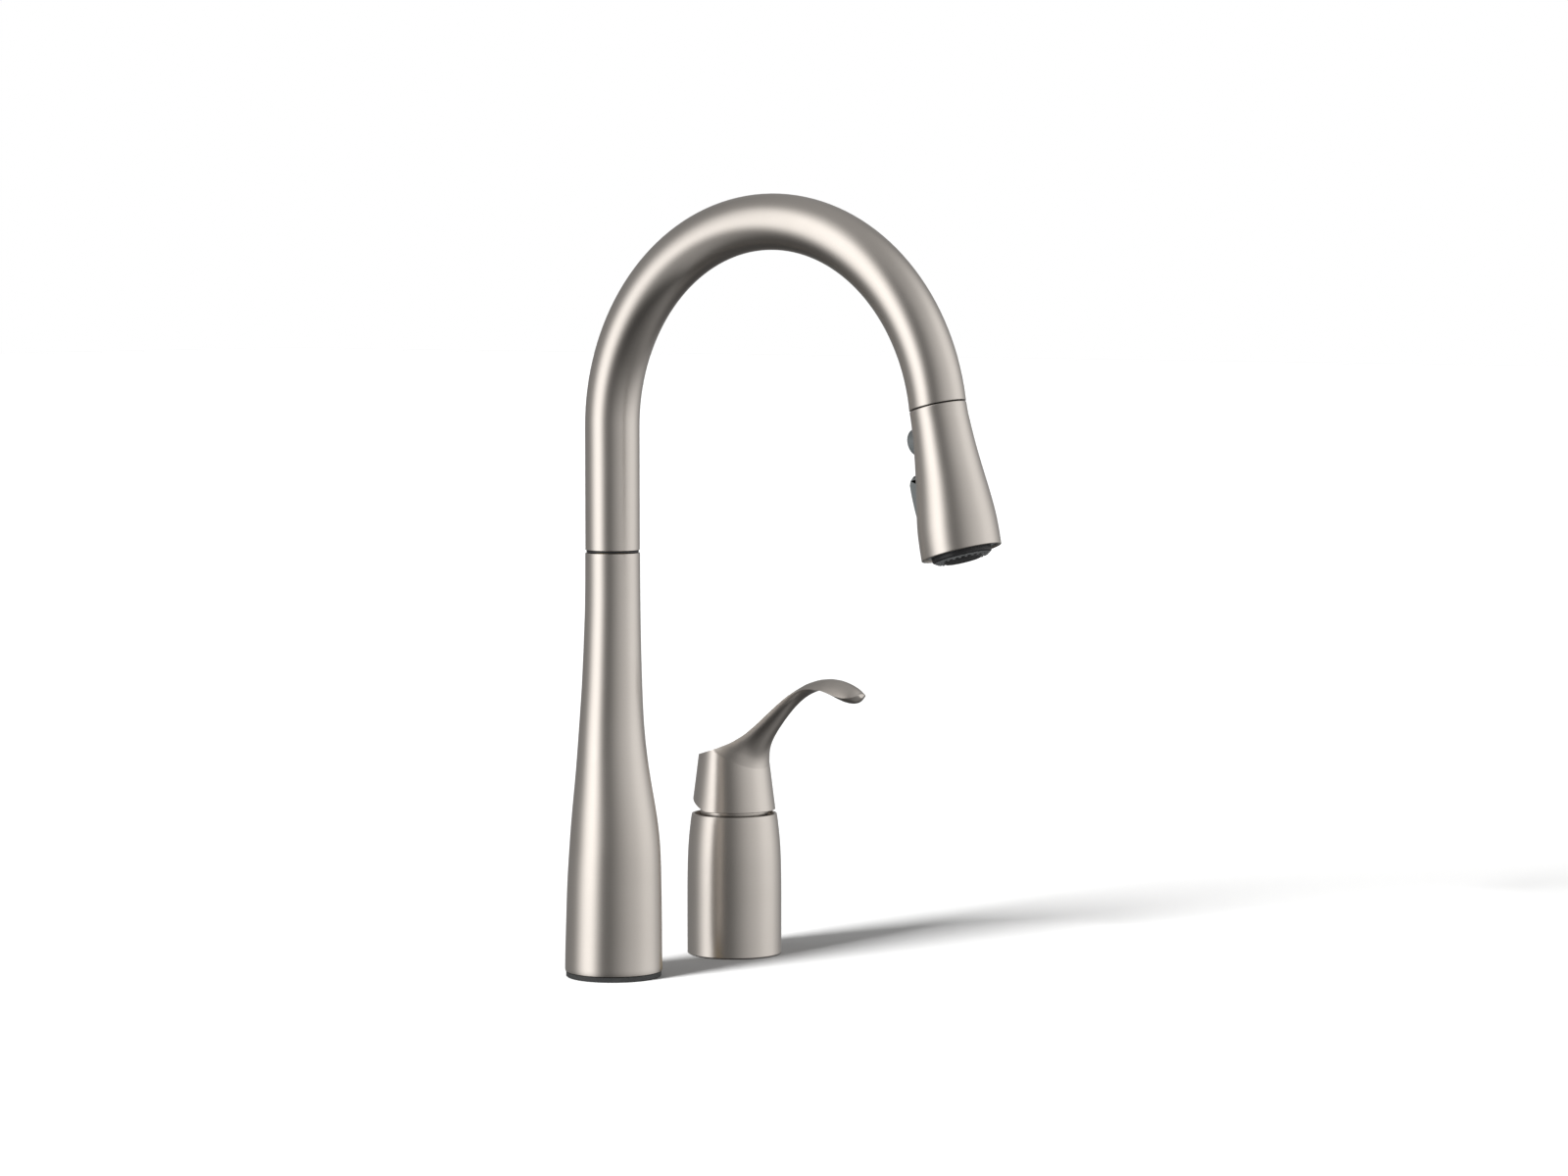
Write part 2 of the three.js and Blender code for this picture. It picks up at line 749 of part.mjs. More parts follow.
function flowRocker() {
  const outline = new THREE.Shape();
  const back = rockerPivot.y - rockerInside;
  const proudest = rockerTop + rockerShoulder;
  outline.moveTo(back, rockerTuck - rockerBottom);
  outline.lineTo(headBack(rockerBottom), -rockerBottom);
  outline.lineTo(headBack(rockerMiddle) + rockerProud * 0.7, -rockerMiddle);
  outline.lineTo(headBack(proudest) + rockerProud, -proudest);
  outline.quadraticCurveTo(headBack(rockerTop) + rockerProud, -rockerTop, back, -rockerTop - rockerTuck);
  outline.closePath();
  const bar = new THREE.ExtrudeGeometry(outline, {
    depth: rockerWidth, bevelEnabled: false, curveSegments: 5,
  });
  bar.translate(0, 0, -rockerWidth / 2);
  bar.applyMatrix4(new THREE.Matrix4().makeBasis(alongY, new THREE.Vector3(0, 0, 1), alongX));
  const hole = crossBar(rockerPinRadius + gap, 2 * rockerWidth).translate(0, rockerPivot.y, rockerPivot.z);
  return cut(bar, hole);
}

function rockerPin() {
  return crossBar(rockerPinRadius, rockerWidth - 1).translate(0, rockerPivot.y, rockerPivot.z);
}

// ---- mixing valve, built about its own axis ----
const valveShoulderRadius = valveRadius - valveShoulderStep;
const valveBore = valveRadius - valveWall;
const valveBodyTop = valveTop - valveBodyDrop;
const cartridgeRadius = valveBore - cartridgeInset;
const cartridgeTop = valveTop - cartridgeDrop;
const neckRadius = valveRadius - neckInset;
const neckBore = neckRadius - neckWall;
const neckTop = valveTop + neckRise;
const valveMouth = neckRadius + slideGap;
const nutSeat = valveTop - lipDepth - 1;
const supplyCircle = shankBore - supplyRadius - supplyInset;
const supplyStagger = fittingLength + fittingSpacing;
const supplyDrops = {
  hot: shortestSupply + supplyStagger,
  cold: shortestSupply + 2 * supplyStagger,
  mixed: shortestSupply,
};

function valveGasket() {
  return washer(shankRadius + gap, valveRadius - valveSkirtWall - gap, 0, valveGasketHeight, fine);
}

function valveBarrel() {
  const bottom = valveGasketHeight + gap;
  const shoulder = new THREE.SplineCurve([
    [valveRadius, valveStraight],
    [valveRadius - 0.35, valveStraight + 0.42 * (valveTop - valveStraight)],
    [valveRadius - 1.15, valveStraight + 0.7 * (valveTop - valveStraight)],
    [valveShoulderRadius, valveTop - edgeBevel],
  ].map(([radius, height]) => new THREE.Vector2(radius, height)));
  return turned([
    [valveBore, bottom],
    [valveRadius - valveSkirtWall, bottom],
    [valveRadius - valveSkirtWall, gap],
    [valveRadius - edgeBevel / 2, gap],
    [valveRadius, gap + edgeBevel / 2],
    ...shoulder.getPoints(6).map((point) => [point.x, point.y]),
    [valveShoulderRadius - edgeBevel, valveTop],
    [valveMouth, valveTop],
    [valveMouth, valveTop - lipDepth],
    [valveBore, valveTop - lipDepth],
  ], fine);
}

function valveBody() {
  const bottom = valveGasketHeight + 2 * gap + valveBodyRise;
  return washer(valveBodyBore, valveBore - gap, bottom, valveBodyTop);
}

function cartridge() {
  return turned([
    [0, valveBodyTop + gap],
    [cartridgeRadius, valveBodyTop + gap],
    [cartridgeRadius, cartridgeTop],
    [cartridgeWell, cartridgeTop],
    [cartridgeWell, cartridgeTop - cartridgeWellDepth],
    [0, cartridgeTop - cartridgeWellDepth],
  ]);
}

function cartridgeNut() {
  return washer(carrierRadius + carrierNutGap, valveBore - gap, cartridgeTop + gap, nutSeat, coarse);
}

function neckRing() {
  const bottom = nutSeat + gap;
  return turned([
    [neckBore, bottom],
    [neckRadius, bottom],
    [neckRadius, neckTop - 0.5],
    [neckRadius - 0.5, neckTop],
    [neckBore, neckTop],
  ], fine);
}

function supplyPlace(turn) {
  const angle = radians(90 + 120 * turn);
  return [supplyCircle * Math.cos(angle), supplyCircle * Math.sin(angle)];
}

function supplyTube(turn, drop) {
  const [x, y] = supplyPlace(turn);
  return rod(supplyRadius, -drop, valveGasketHeight + gap + 2, coarse).translate(x, y, 0);
}

function supplyFitting(turn, drop) {
  const [x, y] = supplyPlace(turn);
  const top = -drop - gap;
  return turned([
    [supplyMouth, top - fittingLength],
    [supplyRadius + fittingStep, top - fittingLength],
    [supplyRadius + fittingStep, top - fittingNutHeight],
    [supplyRadius + fittingNutStep, top - fittingNutHeight],
    [supplyRadius + fittingNutStep, top],
    [supplyMouth, top],
  ], coarse).translate(x, y, 0);
}

// ---- lever mechanism ----
const pivotHeight = valveTop - pivotDrop;
const capBottom = valveTop + capGap;
const capRadius = valveRadius - capInset;
const stemTop = capBottom + stemRise;
const capCavityTop = capBottom + capCavityRise;
const bossBottom = capBottom + bossRise;
const setScrewHeight = capBottom + setScrewRise;
const screwStart = stemDepth / 2 + 2 * gap;
const plugEnd = capRadius - plugInset;

function leverCarrier() {
  const top = pivotHeight - carrierTop;
  const base = rod(carrierRadius, cartridgeTop - carrierDrop, top);
  const width = cheekOuter - cheekInner;
  const cheek = (side) => block(width, cheekDepth, top - 1, pivotHeight + cheekRise)
    .translate((side * (cheekInner + cheekOuter)) / 2, 0, 0);
  const hole = crossBar(pivotPinRadius + gap, 3 * cheekOuter).translate(0, 0, pivotHeight);
  return cut(join(base, cheek(-1), cheek(1)), hole);
}

function pivotPin() {
  return crossBar(pivotPinRadius, 2 * cheekOuter - 1).translate(0, 0, pivotHeight);
}

function leverStem() {
  const hole = crossBar(pivotPinRadius + gap, stemWidth + 2).translate(0, 0, pivotHeight);
  return cut(block(stemWidth, stemDepth, pivotHeight - stemDrop, stemTop), hole);
}

// Stations up the cap and along the lever: back edge, front edge (forward, height above the foot of
// the cap) and half width.
const leverStations = [
  { back: [0.1 - capRadius, 0], front: [capRadius, 0], half: capRadius },
  { back: [0.7 - capRadius, 7.6], front: [capRadius - 0.9, 7.3], half: capRadius - 0.7 },
  { back: [1.5 - capRadius, 17.1], front: [capRadius - 2.4, 15.6], half: capRadius - 1.8 },
  { back: [2.5 - capRadius, 26.7], front: [capRadius - 3.1, 21.6], half: capRadius - 2.8 },
  { back: [2.8 - capRadius, 28.7], front: [capRadius - 3.2, 23.9], half: capRadius - 3.1 },
  { back: [-15, 29.8], front: [19.3, 26.5], half: 18.6 },
  { back: [-7, 31.8], front: [19.6, 29.7], half: 17 },
  { back: [1, 34.2], front: [20.4, 33], half: 14.2 },
  { back: [8.4, 37.7], front: [22, 36.1], half: 11.4 },
  { back: [15.4, 42.7], front: [24.6, 39.5], half: 9 },
  { back: [21.6, 48.3], front: [28.2, 44.1], half: 7.4 },
  { back: [28.4, 54.7], front: [33.2, 50.1], half: 6.5 },
  { back: [35.4, 60.9], front: [39.2, 56.1], half: 6.2 },
  { back: [43, 66.9], front: [46, 61.9], half: 6.3 },
  { back: [51, 71.5], front: [53, 66.3], half: 6.8 },
  { back: [59, 74], front: [59.6, 68.9], half: 7.8 },
  { back: [66.6, 74.9], front: [66.2, 68.7], half: 8.9 },
  { back: [73, 74.4], front: [71.6, 66.1], half: 9.5 },
  { back: [78.4, 73], front: [76.6, 63.9], half: 9.2 },
  { back: [82.4, 71.3], front: [81, 62.8], half: 8.3 },
  { back: [85, 69.7], front: [84.2, 63.3], half: 6.6 },
  { back: [86.6, 67.7], front: [86, 64.5], half: 4.2 },
  { back: [87.3, 66.7], front: [87.1, 65.7], half: 2.2 },
];

// Share of the depth at which a section is widest: near the top on the arm, low on the crowned blade.
function crownShare(forward) {
  const arm = THREE.MathUtils.smoothstep(forward, 8, 45);
  const blade = THREE.MathUtils.smoothstep(forward, 55, 74);
  return 0.5 - 0.18 * arm + 0.38 * blade;
}

function leverRing({ back, front, half }, segments) {
  const top = new THREE.Vector3(0, -back[0], capBottom + back[1]);
  const bottom = new THREE.Vector3(0, -front[0], capBottom + front[1]);
  const crown = crownShare(back[0]);
  const hub = top.clone().lerp(bottom, crown);
  const upper = top.sub(hub);
  const lower = bottom.sub(hub);
  return Array.from({ length: segments }, (_, i) => {
    const angle = (2 * Math.PI * i) / segments;
    const side = Math.sin(angle);
    const reach = side > 0 ? upper : lower;
    return hub.clone().addScaledVector(alongX, half * Math.cos(angle)).addScaledVector(reach, Math.abs(side));
  });
}

function capCavity() {
  const bottomRadius = leverStations[0].half - capWall;
  const topRadius = leverStations[3].half - capWall;
  return turned([
    [0, capBottom - 2],
    [bottomRadius, capBottom - 2],
    [topRadius, capCavityTop],
    [bossRadius, capCavityTop],
    [bossRadius, bossBottom],
    [0, bossBottom],
  ], fine);
}

// Wedge under the back of the cap that lets it tip back over the barrel.
function backRelief() {
  const reach = 40;
  const wedge = new THREE.Shape();
  wedge.moveTo(-backCutStart, capBottom - 12);
  wedge.lineTo(reach, capBottom - 12);
  wedge.lineTo(reach, capBottom + backCutSlope * (reach + backCutStart));
  wedge.lineTo(-backCutStart, capBottom);
  wedge.closePath();
  const bar = new THREE.ExtrudeGeometry(wedge, { depth: 80, bevelEnabled: false }).translate(0, 0, -40);
  return bar.applyMatrix4(new THREE.Matrix4().makeBasis(alongY, new THREE.Vector3(0, 0, 1), alongX));
}

function handleLever() {
  const body = skin(leverStations.map((station) => leverRing(station, 24)));
  const socket = block(stemWidth + 2 * gap, stemDepth + 2 * gap, bossBottom - 1, stemTop + gap);
  const screwHole = rod(setScrewRadius + gap, 0, 30, coarse)
    .rotateX(-Math.PI / 2)
    .translate(0, 0, setScrewHeight);
  return cut(body, capCavity(), backRelief(), socket, screwHole);
}

function radialPin(radius, from, to) {
  return rod(radius, from, to, coarse).rotateX(-Math.PI / 2).translate(0, 0, setScrewHeight);
}

// ---- assembly ----
addFixing(model, 'column', columnBottom + columnSocketDepth - gap);
addMesh(model, 'base_gasket', baseGasket(), darkRubber);
addMesh(model, 'spout_column', spoutColumn(), satinNickel);
addMesh(model, 'swivel_journal', swivelJournal(), brass);
oRingHeights.forEach((height, i) => addMesh(model, `swivel_o_ring_${i + 1}`, oRing(height), darkRubber));
addMesh(model, 'swivel_ring', swivelRing(), blackPlastic);
addMesh(model, 'swivel_clip', swivelClip(), steel);

addMesh(model, 'spout_tube', spoutTube(), satinNickel);
addMesh(model, 'spout_sleeve', spoutSleeve(), whitePlastic);
addMesh(model, 'hose_in_spout', hoseInSpout(), braid);

const head = new THREE.Group();
head.position.copy(seam);
head.rotation.x = -radians(seamTilt);
model.add(head);
addMesh(head, 'dock_adapter', dockAdapter(), blackPlastic);
addMesh(head, 'dock_magnet', dockMagnet(), steel);
addMesh(head, 'hose_end', hoseEnd(), braid);
addMesh(head, 'hose_ferrule', hoseFerrule(), steel);
addMesh(head, 'hose_nut', hoseNut(), brass);
addMesh(head, 'docking_collar', dockingCollar(), greyPlastic);
addMesh(head, 'collar_ring', collarRing(), steel);
addMesh(head, 'spray_shell', sprayShell(), satinNickel);
addMesh(head, 'spray_core', sprayCore(), whitePlastic);
addMesh(head, 'mode_button', modeButton(), greyPlastic);
addMesh(head, 'flow_rocker', flowRocker(), greyPlastic);
addMesh(head, 'rocker_pin', rockerPin(), steel);

const face = new THREE.Group();
face.position.set(0, headDrift, -headLength);
face.rotation.x = -radians(lipTilt);
head.add(face);
addMesh(face, 'face_ring', faceRing(), greyPlastic);
addMesh(face, 'spray_face', sprayFace(), blackPlastic);
addMesh(face, 'nozzle_ring', nozzleRing(), darkRubber);
addMesh(face, 'aerator', aerator(), blackPlastic);

const valve = new THREE.Group();
valve.position.x = holeSpacing;
model.add(valve);
addFixing(valve, 'valve', valveGasketHeight + gap + 2);
addMesh(valve, 'valve_gasket', valveGasket(), darkRubber);
addMesh(valve, 'valve_barrel', valveBarrel(), satinNickel);
addMesh(valve, 'valve_body', valveBody(), brass);
addMesh(valve, 'cartridge', cartridge(), whitePlastic);
addMesh(valve, 'cartridge_nut', cartridgeNut(), brass);
addMesh(valve, 'neck_ring', neckRing(), satinNickel);
Object.entries(supplyDrops).forEach(([supply, drop], turn) => {
  addMesh(valve, `${supply}_tube`, supplyTube(turn, drop), copper);
  addMesh(valve, `${supply}_fitting`, supplyFitting(turn, drop), brass);
});
addMesh(valve, 'lever_carrier', leverCarrier(), whitePlastic);
addMesh(valve, 'pivot_pin', pivotPin(), steel);
addMesh(valve, 'lever_stem', leverStem(), steel);
addMesh(valve, 'handle_lever', handleLever(), satinNickel);
addMesh(valve, 'set_screw', radialPin(setScrewRadius, screwStart, screwStart + setScrewLength), steel);
addMesh(valve, 'screw_plug', radialPin(setScrewRadius, plugEnd - plugLength, plugEnd), greyPlastic);

export default model;
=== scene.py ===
import json
import math
import bmesh
import bpy
from mathutils import Matrix, Vector


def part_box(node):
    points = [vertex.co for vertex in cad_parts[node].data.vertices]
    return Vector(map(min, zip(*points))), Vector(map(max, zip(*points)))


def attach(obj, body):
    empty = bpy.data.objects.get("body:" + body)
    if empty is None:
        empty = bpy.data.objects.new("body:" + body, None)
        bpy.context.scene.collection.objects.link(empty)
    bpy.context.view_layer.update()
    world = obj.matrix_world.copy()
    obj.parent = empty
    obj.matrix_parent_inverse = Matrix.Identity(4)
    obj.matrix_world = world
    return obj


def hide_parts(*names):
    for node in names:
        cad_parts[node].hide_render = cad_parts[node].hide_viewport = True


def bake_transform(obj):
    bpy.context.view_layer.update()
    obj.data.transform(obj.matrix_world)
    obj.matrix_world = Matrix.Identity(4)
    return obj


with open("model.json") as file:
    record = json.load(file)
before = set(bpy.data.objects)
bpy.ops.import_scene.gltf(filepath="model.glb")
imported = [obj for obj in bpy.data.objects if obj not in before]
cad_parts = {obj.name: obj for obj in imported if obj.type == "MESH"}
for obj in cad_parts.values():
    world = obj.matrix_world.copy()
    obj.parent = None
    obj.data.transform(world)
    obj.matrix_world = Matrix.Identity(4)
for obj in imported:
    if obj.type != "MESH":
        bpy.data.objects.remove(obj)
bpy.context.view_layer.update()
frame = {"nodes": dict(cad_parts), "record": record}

# Looks of a pull-down kitchen faucet with a separate side valve.
# Sizes are millimetres in the tables and metres in the scene.

mm = 0.001
scene = bpy.context.scene
print("frame loaded:", len(frame["nodes"]), "parts")


# shaping helpers

def ringPlace(centre, radius, turn=Matrix.Identity(4)):
    # where a unit circle goes: centre and radius in millimetres
    return Matrix.Translation(Vector(centre) * mm) @ turn @ Matrix.Scale(radius * mm, 4)


def smoothRows(rows, steps):
    # a soft curve through the rows of numbers, with some steps between each two
    full = [rows[0]] + rows + [rows[-1]]
    eased = []
    for i in range(1, len(full) - 2):
        before, here, after, later = full[i - 1:i + 3]
        for k in range(steps):
            t = k / steps
            eased.append([
                0.5 * (2 * b + (c - a) * t + (2 * a - 5 * b + 4 * c - d) * t ** 2
                       + (3 * b - a - 3 * c + d) * t ** 3)
                for a, b, c, d in zip(before, here, after, later)])
    return eased + [rows[-1]]


def startRing(bm, place, sides):
    ring = bmesh.ops.create_circle(bm, segments=sides, radius=1, matrix=place)["verts"]
    return [edge for edge in bm.edges if edge.verts[0] in ring]


def growRing(bm, edges):
    # pull a loose ring of edges out by one step
    grown = bmesh.ops.extrude_edge_only(bm, edges=edges)["geom"]
    fresh = {item for item in grown if isinstance(item, bmesh.types.BMVert)}
    ring = [item for item in grown if isinstance(item, bmesh.types.BMEdge) and set(item.verts) <= fresh]
    return list(fresh), ring


def sleeve(places, sides=64, closed=True):
    # a ring pulled through a chain of places, joined to its own start when closed
    bm = bmesh.new()
    first = ring = startRing(bm, places[0], sides)
    for before, after in zip(places, places[1:]):
        fresh, ring = growRing(bm, ring)
        bmesh.ops.transform(bm, matrix=after @ before.inverted(), verts=fresh)
    if closed:
        bmesh.ops.bridge_loops(bm, edges=first + ring)
    else:
        bmesh.ops.holes_fill(bm, edges=first + ring, sides=0)
    bmesh.ops.recalc_face_normals(bm, faces=bm.faces)
    return bm


def turned(outline, sides=96, rounding=0.3, centre=(0, 0)):
    # [radius, height] corners spun about a vertical axis, sharp rims rounded
    bm = bmesh.new()
    corners = [bm.verts.new((radius * mm, 0, height * mm)) for radius, height in outline]
    pairs = list(zip(corners, corners[1:]))
    if outline[0][0] or outline[-1][0]:
        pairs.append((corners[-1], corners[0]))
    runs = [bm.edges.new(pair) for pair in pairs]
    bmesh.ops.spin(bm, geom=corners + runs, cent=(0, 0, 0), axis=(0, 0, 1),
                   angle=2 * math.pi, steps=sides, use_merge=True)
    bmesh.ops.remove_doubles(bm, verts=bm.verts, dist=1e-6)
    bmesh.ops.dissolve_degenerate(bm, dist=1e-7, edges=bm.edges)
    bmesh.ops.recalc_face_normals(bm, faces=bm.faces)
    if rounding:
        roundRims(bm, rounding)
    bmesh.ops.translate(bm, vec=(centre[0] * mm, centre[1] * mm, 0), verts=bm.verts)
    return bm


def roundRims(bm, rounding, sharper=32, steps=3):
    rims = [edge for edge in bm.edges
            if len(edge.link_faces) == 2 and edge.calc_face_angle(0) > math.radians(sharper)]
    bmesh.ops.bevel(bm, geom=rims, offset=rounding * mm, offset_type="OFFSET", affect="EDGES",
                    segments=steps, profile=0.5, material=-1, clamp_overlap=True)


def slab(width, depth, height, centre, rounding=0.3):
    # a rounded block
    size = Matrix.Diagonal((width * mm, depth * mm, height * mm, 1))
    bm = bmesh.new()
    bmesh.ops.create_cube(bm, size=1, matrix=Matrix.Translation(Vector(centre) * mm) @ size)
    if rounding:
        roundRims(bm, rounding)
    return bm


def moved(bm, matrix):
    bmesh.ops.transform(bm, matrix=matrix, verts=bm.verts)
    return bm


def merged(first, *others):
    # several closed shapes in one bmesh
    for other in others:
        spare = bpy.data.meshes.new("spare")
        other.to_mesh(spare)
        other.free()
        first.from_mesh(spare)
        bpy.data.meshes.remove(spare)
    return first


def grainRows(bm, height):
    # each corner keeps its distance along the piece, in millimetres, for the brush lines
    layer = bm.verts.layers.float.new("grainRow")
    for vert in bm.verts:
        vert[layer] = height(vert.co / mm)
    return bm


def addPiece(bm, name, body, finish, replaced=(), crease=38, weighted=True):
    mesh = bpy.data.meshes.new(name)
    bm.to_mesh(mesh)
    bm.free()
    mesh.materials.append(finish)
    mesh.shade_smooth()
    mesh.set_sharp_from_angle(angle=math.radians(crease))
    piece = bpy.data.objects.new(name, mesh)
    scene.collection.objects.link(piece)
    if weighted:
        weights = piece.modifiers.new("faceWeights", "WEIGHTED_NORMAL")
        weights.keep_sharp = True
    if body:
        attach(piece, body)
    if replaced:
        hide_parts(*replaced)
    return piece


def carve(bm, *tools):
    # cut tools out of a shape and hand the shape back
    meshes = []
    for source in (bm, *tools):
        mesh = bpy.data.meshes.new("blank")
        source.to_mesh(mesh)
        source.free()
        meshes.append(mesh)
    blank, *cutters = [bpy.data.objects.new("blank", mesh) for mesh in meshes]
    for thing in (blank, *cutters):
        scene.collection.objects.link(thing)
    for cutter in cutters:
        cut = blank.modifiers.new("cut", "BOOLEAN")
        cut.operation = "DIFFERENCE"
        cut.solver = "EXACT"
        cut.object = cutter
    shaped = blank.evaluated_get(bpy.context.evaluated_depsgraph_get()).to_mesh()
    done = bmesh.new()
    done.from_mesh(shaped)
    for thing in (blank, *cutters):
        bpy.data.objects.remove(thing)
    for mesh in meshes:
        bpy.data.meshes.remove(mesh)
    return done


# shader helper: a socket that can be used in sums

class Strand:
    def __init__(self, tree, socket=None):
        self.tree = tree
        self.socket = socket

    def node(self, kind, settings=None, sockets=None, out=0):
        made = self.tree.nodes.new(kind)
        for key, value in (settings or {}).items():
            if key == "stops":
                ramp = made.color_ramp
                while len(ramp.elements) < len(value):
                    ramp.elements.new(0.5)
                for element, (spot, colour) in zip(ramp.elements, value):
                    element.position = spot
                    element.color = (*colour, 1)
            else:
                setattr(made, key, value)
        for key, value in (sockets or {}).items():
            if isinstance(value, Strand):
                self.tree.links.new(value.socket, made.inputs[key])
            else:
                made.inputs[key].default_value = value
        return Strand(self.tree, made.outputs[out])

    def math(self, operation, *values):
        return self.node("ShaderNodeMath", {"operation": operation}, dict(enumerate(values)))

    def __add__(self, other): return self.math("ADD", self, other)
    def __radd__(self, other): return self.math("ADD", other, self)
    def __sub__(self, other): return self.math("SUBTRACT", self, other)
    def __rsub__(self, other): return self.math("SUBTRACT", other, self)
    def __mul__(self, other): return self.math("MULTIPLY", self, other)
    def __rmul__(self, other): return self.math("MULTIPLY", other, self)
    def __truediv__(self, other): return self.math("DIVIDE", self, other)
    def __rtruediv__(self, other): return self.math("DIVIDE", other, self)
    def __pow__(self, other): return self.math("POWER", self, other)

    def clamped(self, low, high):
        return self.math("MAXIMUM", self.math("MINIMUM", self, high), low)

    def between(self, low, high):
        # 0 at low, 1 at high, held at both ends
        return self.node("ShaderNodeMapRange", {"clamp": True},
                         {"Value": self, "From Min": low, "From Max": high})

    def blend(self, first, second):
        # mix two colours by this value
        return self.node("ShaderNodeMix", {"data_type": "RGBA"},
                         {"Factor": self, 6: first, 7: second}, out=2)

    def noise(self, place, size, detail=3.0, rough=0.55, across=None):
        # soft noise, 0 to 1; size in millimetres; across adds rows that run round the piece
        settings = {"noise_dimensions": "4D" if across is not None else "3D"}
        sockets = {"Vector": place, "Scale": 1 / (size * mm), "Detail": detail, "Roughness": rough}
        if across is not None:
            sockets["W"] = across
        return self.node("ShaderNodeTexNoise", settings, sockets)

    def bump(self, height, distance, strength):
        return self.node("ShaderNodeBump", None,
                         {"Height": height, "Distance": distance * mm, "Strength": strength})


def newFinish(name, constants):
    finish = bpy.data.materials.new(name)
    finish.use_nodes = True
    tree = finish.node_tree
    shader = tree.nodes["Principled BSDF"]
    for key, value in constants.items():
        shader.inputs[key].default_value = value
    start = Strand(tree)
    place = start.node("ShaderNodeTexCoord", out=3)

    def feed(**sockets):
        for key, value in sockets.items():
            tree.links.new(value.socket, shader.inputs[key.replace("_", " ")])

    return finish, start, place, feed


# finishes

satinNickel = {"deep": (0.545, 0.502, 0.458), "polished": (0.665, 0.627, 0.59), "roughness": 0.31,
               "brushing": 0.05, "rowsPerMm": 5.0, "bump": 0.012}


def brushedNickel(name, rows):
    # satin brushing: fine rows round the piece, cloudy tone, a little wiping and tiny specks
    look = satinNickel
    finish, start, place, feed = newFinish(name, {"Metallic": 1.0, "IOR": 2.2})
    if rows:
        along = start.node("ShaderNodeAttribute", {"attribute_name": "grainRow"}, out=2)
    else:
        along = start.node("ShaderNodeSeparateXYZ", None, {0: place}, out=2) * (1 / mm)
    fineRows = start.noise(place, 40, 2.0, 0.5, along * look["rowsPerMm"])
    wideRows = start.noise(place, 70, 2.0, 0.5, along * (look["rowsPerMm"] / 6))
    cloud = start.noise(place, 55, 4.0, 0.55)
    wiped = start.noise(place, 16, 3.0, 0.6).between(0.55, 0.75)
    specks = start.noise(place, 0.55, 1.0, 0.5).between(0.7, 0.78)
    grain = (fineRows - 0.5) * 0.7 + (wideRows - 0.5) * 0.3
    tone = (0.45 + (cloud - 0.5) * 0.5 + grain * 0.9).clamped(0.0, 1.0)
    colour = tone.blend((*look["deep"], 1), (*look["polished"], 1))
    feed(Base_Color=(specks * 0.12).blend(colour, (0.42, 0.39, 0.36, 1)),
         Roughness=(look["roughness"] + grain * look["brushing"] + (cloud - 0.5) * 0.04
                    - wiped * 0.015 + specks * 0.04),
         Normal=start.bump(fineRows, look["bump"], 0.35))
    return finish


def castMetal(name, tint, stain, roughness, grainSize=6):
    # machined brass, copper or steel: turning lines, slight tarnish, handling marks
    finish, start, place, feed = newFinish(name, {"Metallic": 1.0})
    height = start.node("ShaderNodeSeparateXYZ", None, {0: place}, out=2)
    lines = start.noise(place, 60, 2.0, 0.5, height * (3.5 / mm))
    tarnish = start.noise(place, grainSize, 4.0, 0.6).between(0.42, 0.72)
    marks = start.noise(place, 1.4, 2.0, 0.5).between(0.62, 0.7)
    colour = (tarnish * 0.7).blend((*tint, 1), (*stain, 1))
    feed(Base_Color=(marks * 0.2).blend(colour, tuple(0.6 * c for c in stain) + (1,)),
         Roughness=roughness + (lines - 0.5) * 0.12 + tarnish * 0.14,
         Normal=start.bump(lines, 0.02, 0.4))
    return finish


def mouldedPlastic(name, tint, shade, roughness, grit=0.28, depth=0.012):
    # moulded plastic: fine spark texture, faint flow clouds, rubbed spots
    finish, start, place, feed = newFinish(name, {"Metallic": 0.0, "IOR": 1.49})
    texture = start.noise(place, grit, 2.0, 0.6)
    flow = start.noise(place, 9, 3.0, 0.5)
    rubbed = start.noise(place, 3.5, 3.0, 0.6).between(0.58, 0.75)
    colour = (flow * 0.7 + texture * 0.3).blend((*shade, 1), (*tint, 1))
    feed(Base_Color=colour,
         Roughness=roughness + (texture - 0.5) * 0.16 - rubbed * 0.08,
         Normal=start.bump(texture, depth, 0.5))
    return finish


def softRubber(name, tint, bloom):
    # rubber with a dusty bloom and a fine skin
    finish, start, place, feed = newFinish(name, {"Metallic": 0.0, "IOR": 1.5, "Specular IOR Level": 0.35})
    skinGrain = start.noise(place, 0.4, 3.0, 0.6)
    dust = start.noise(place, 7, 4.0, 0.6).between(0.4, 0.8)
    feed(Base_Color=(dust * 0.5).blend((*tint, 1), (*bloom, 1)),
         Roughness=0.62 + dust * 0.15 + (skinGrain - 0.5) * 0.2,
         Normal=start.bump(skinGrain, 0.03, 0.5))
    return finish


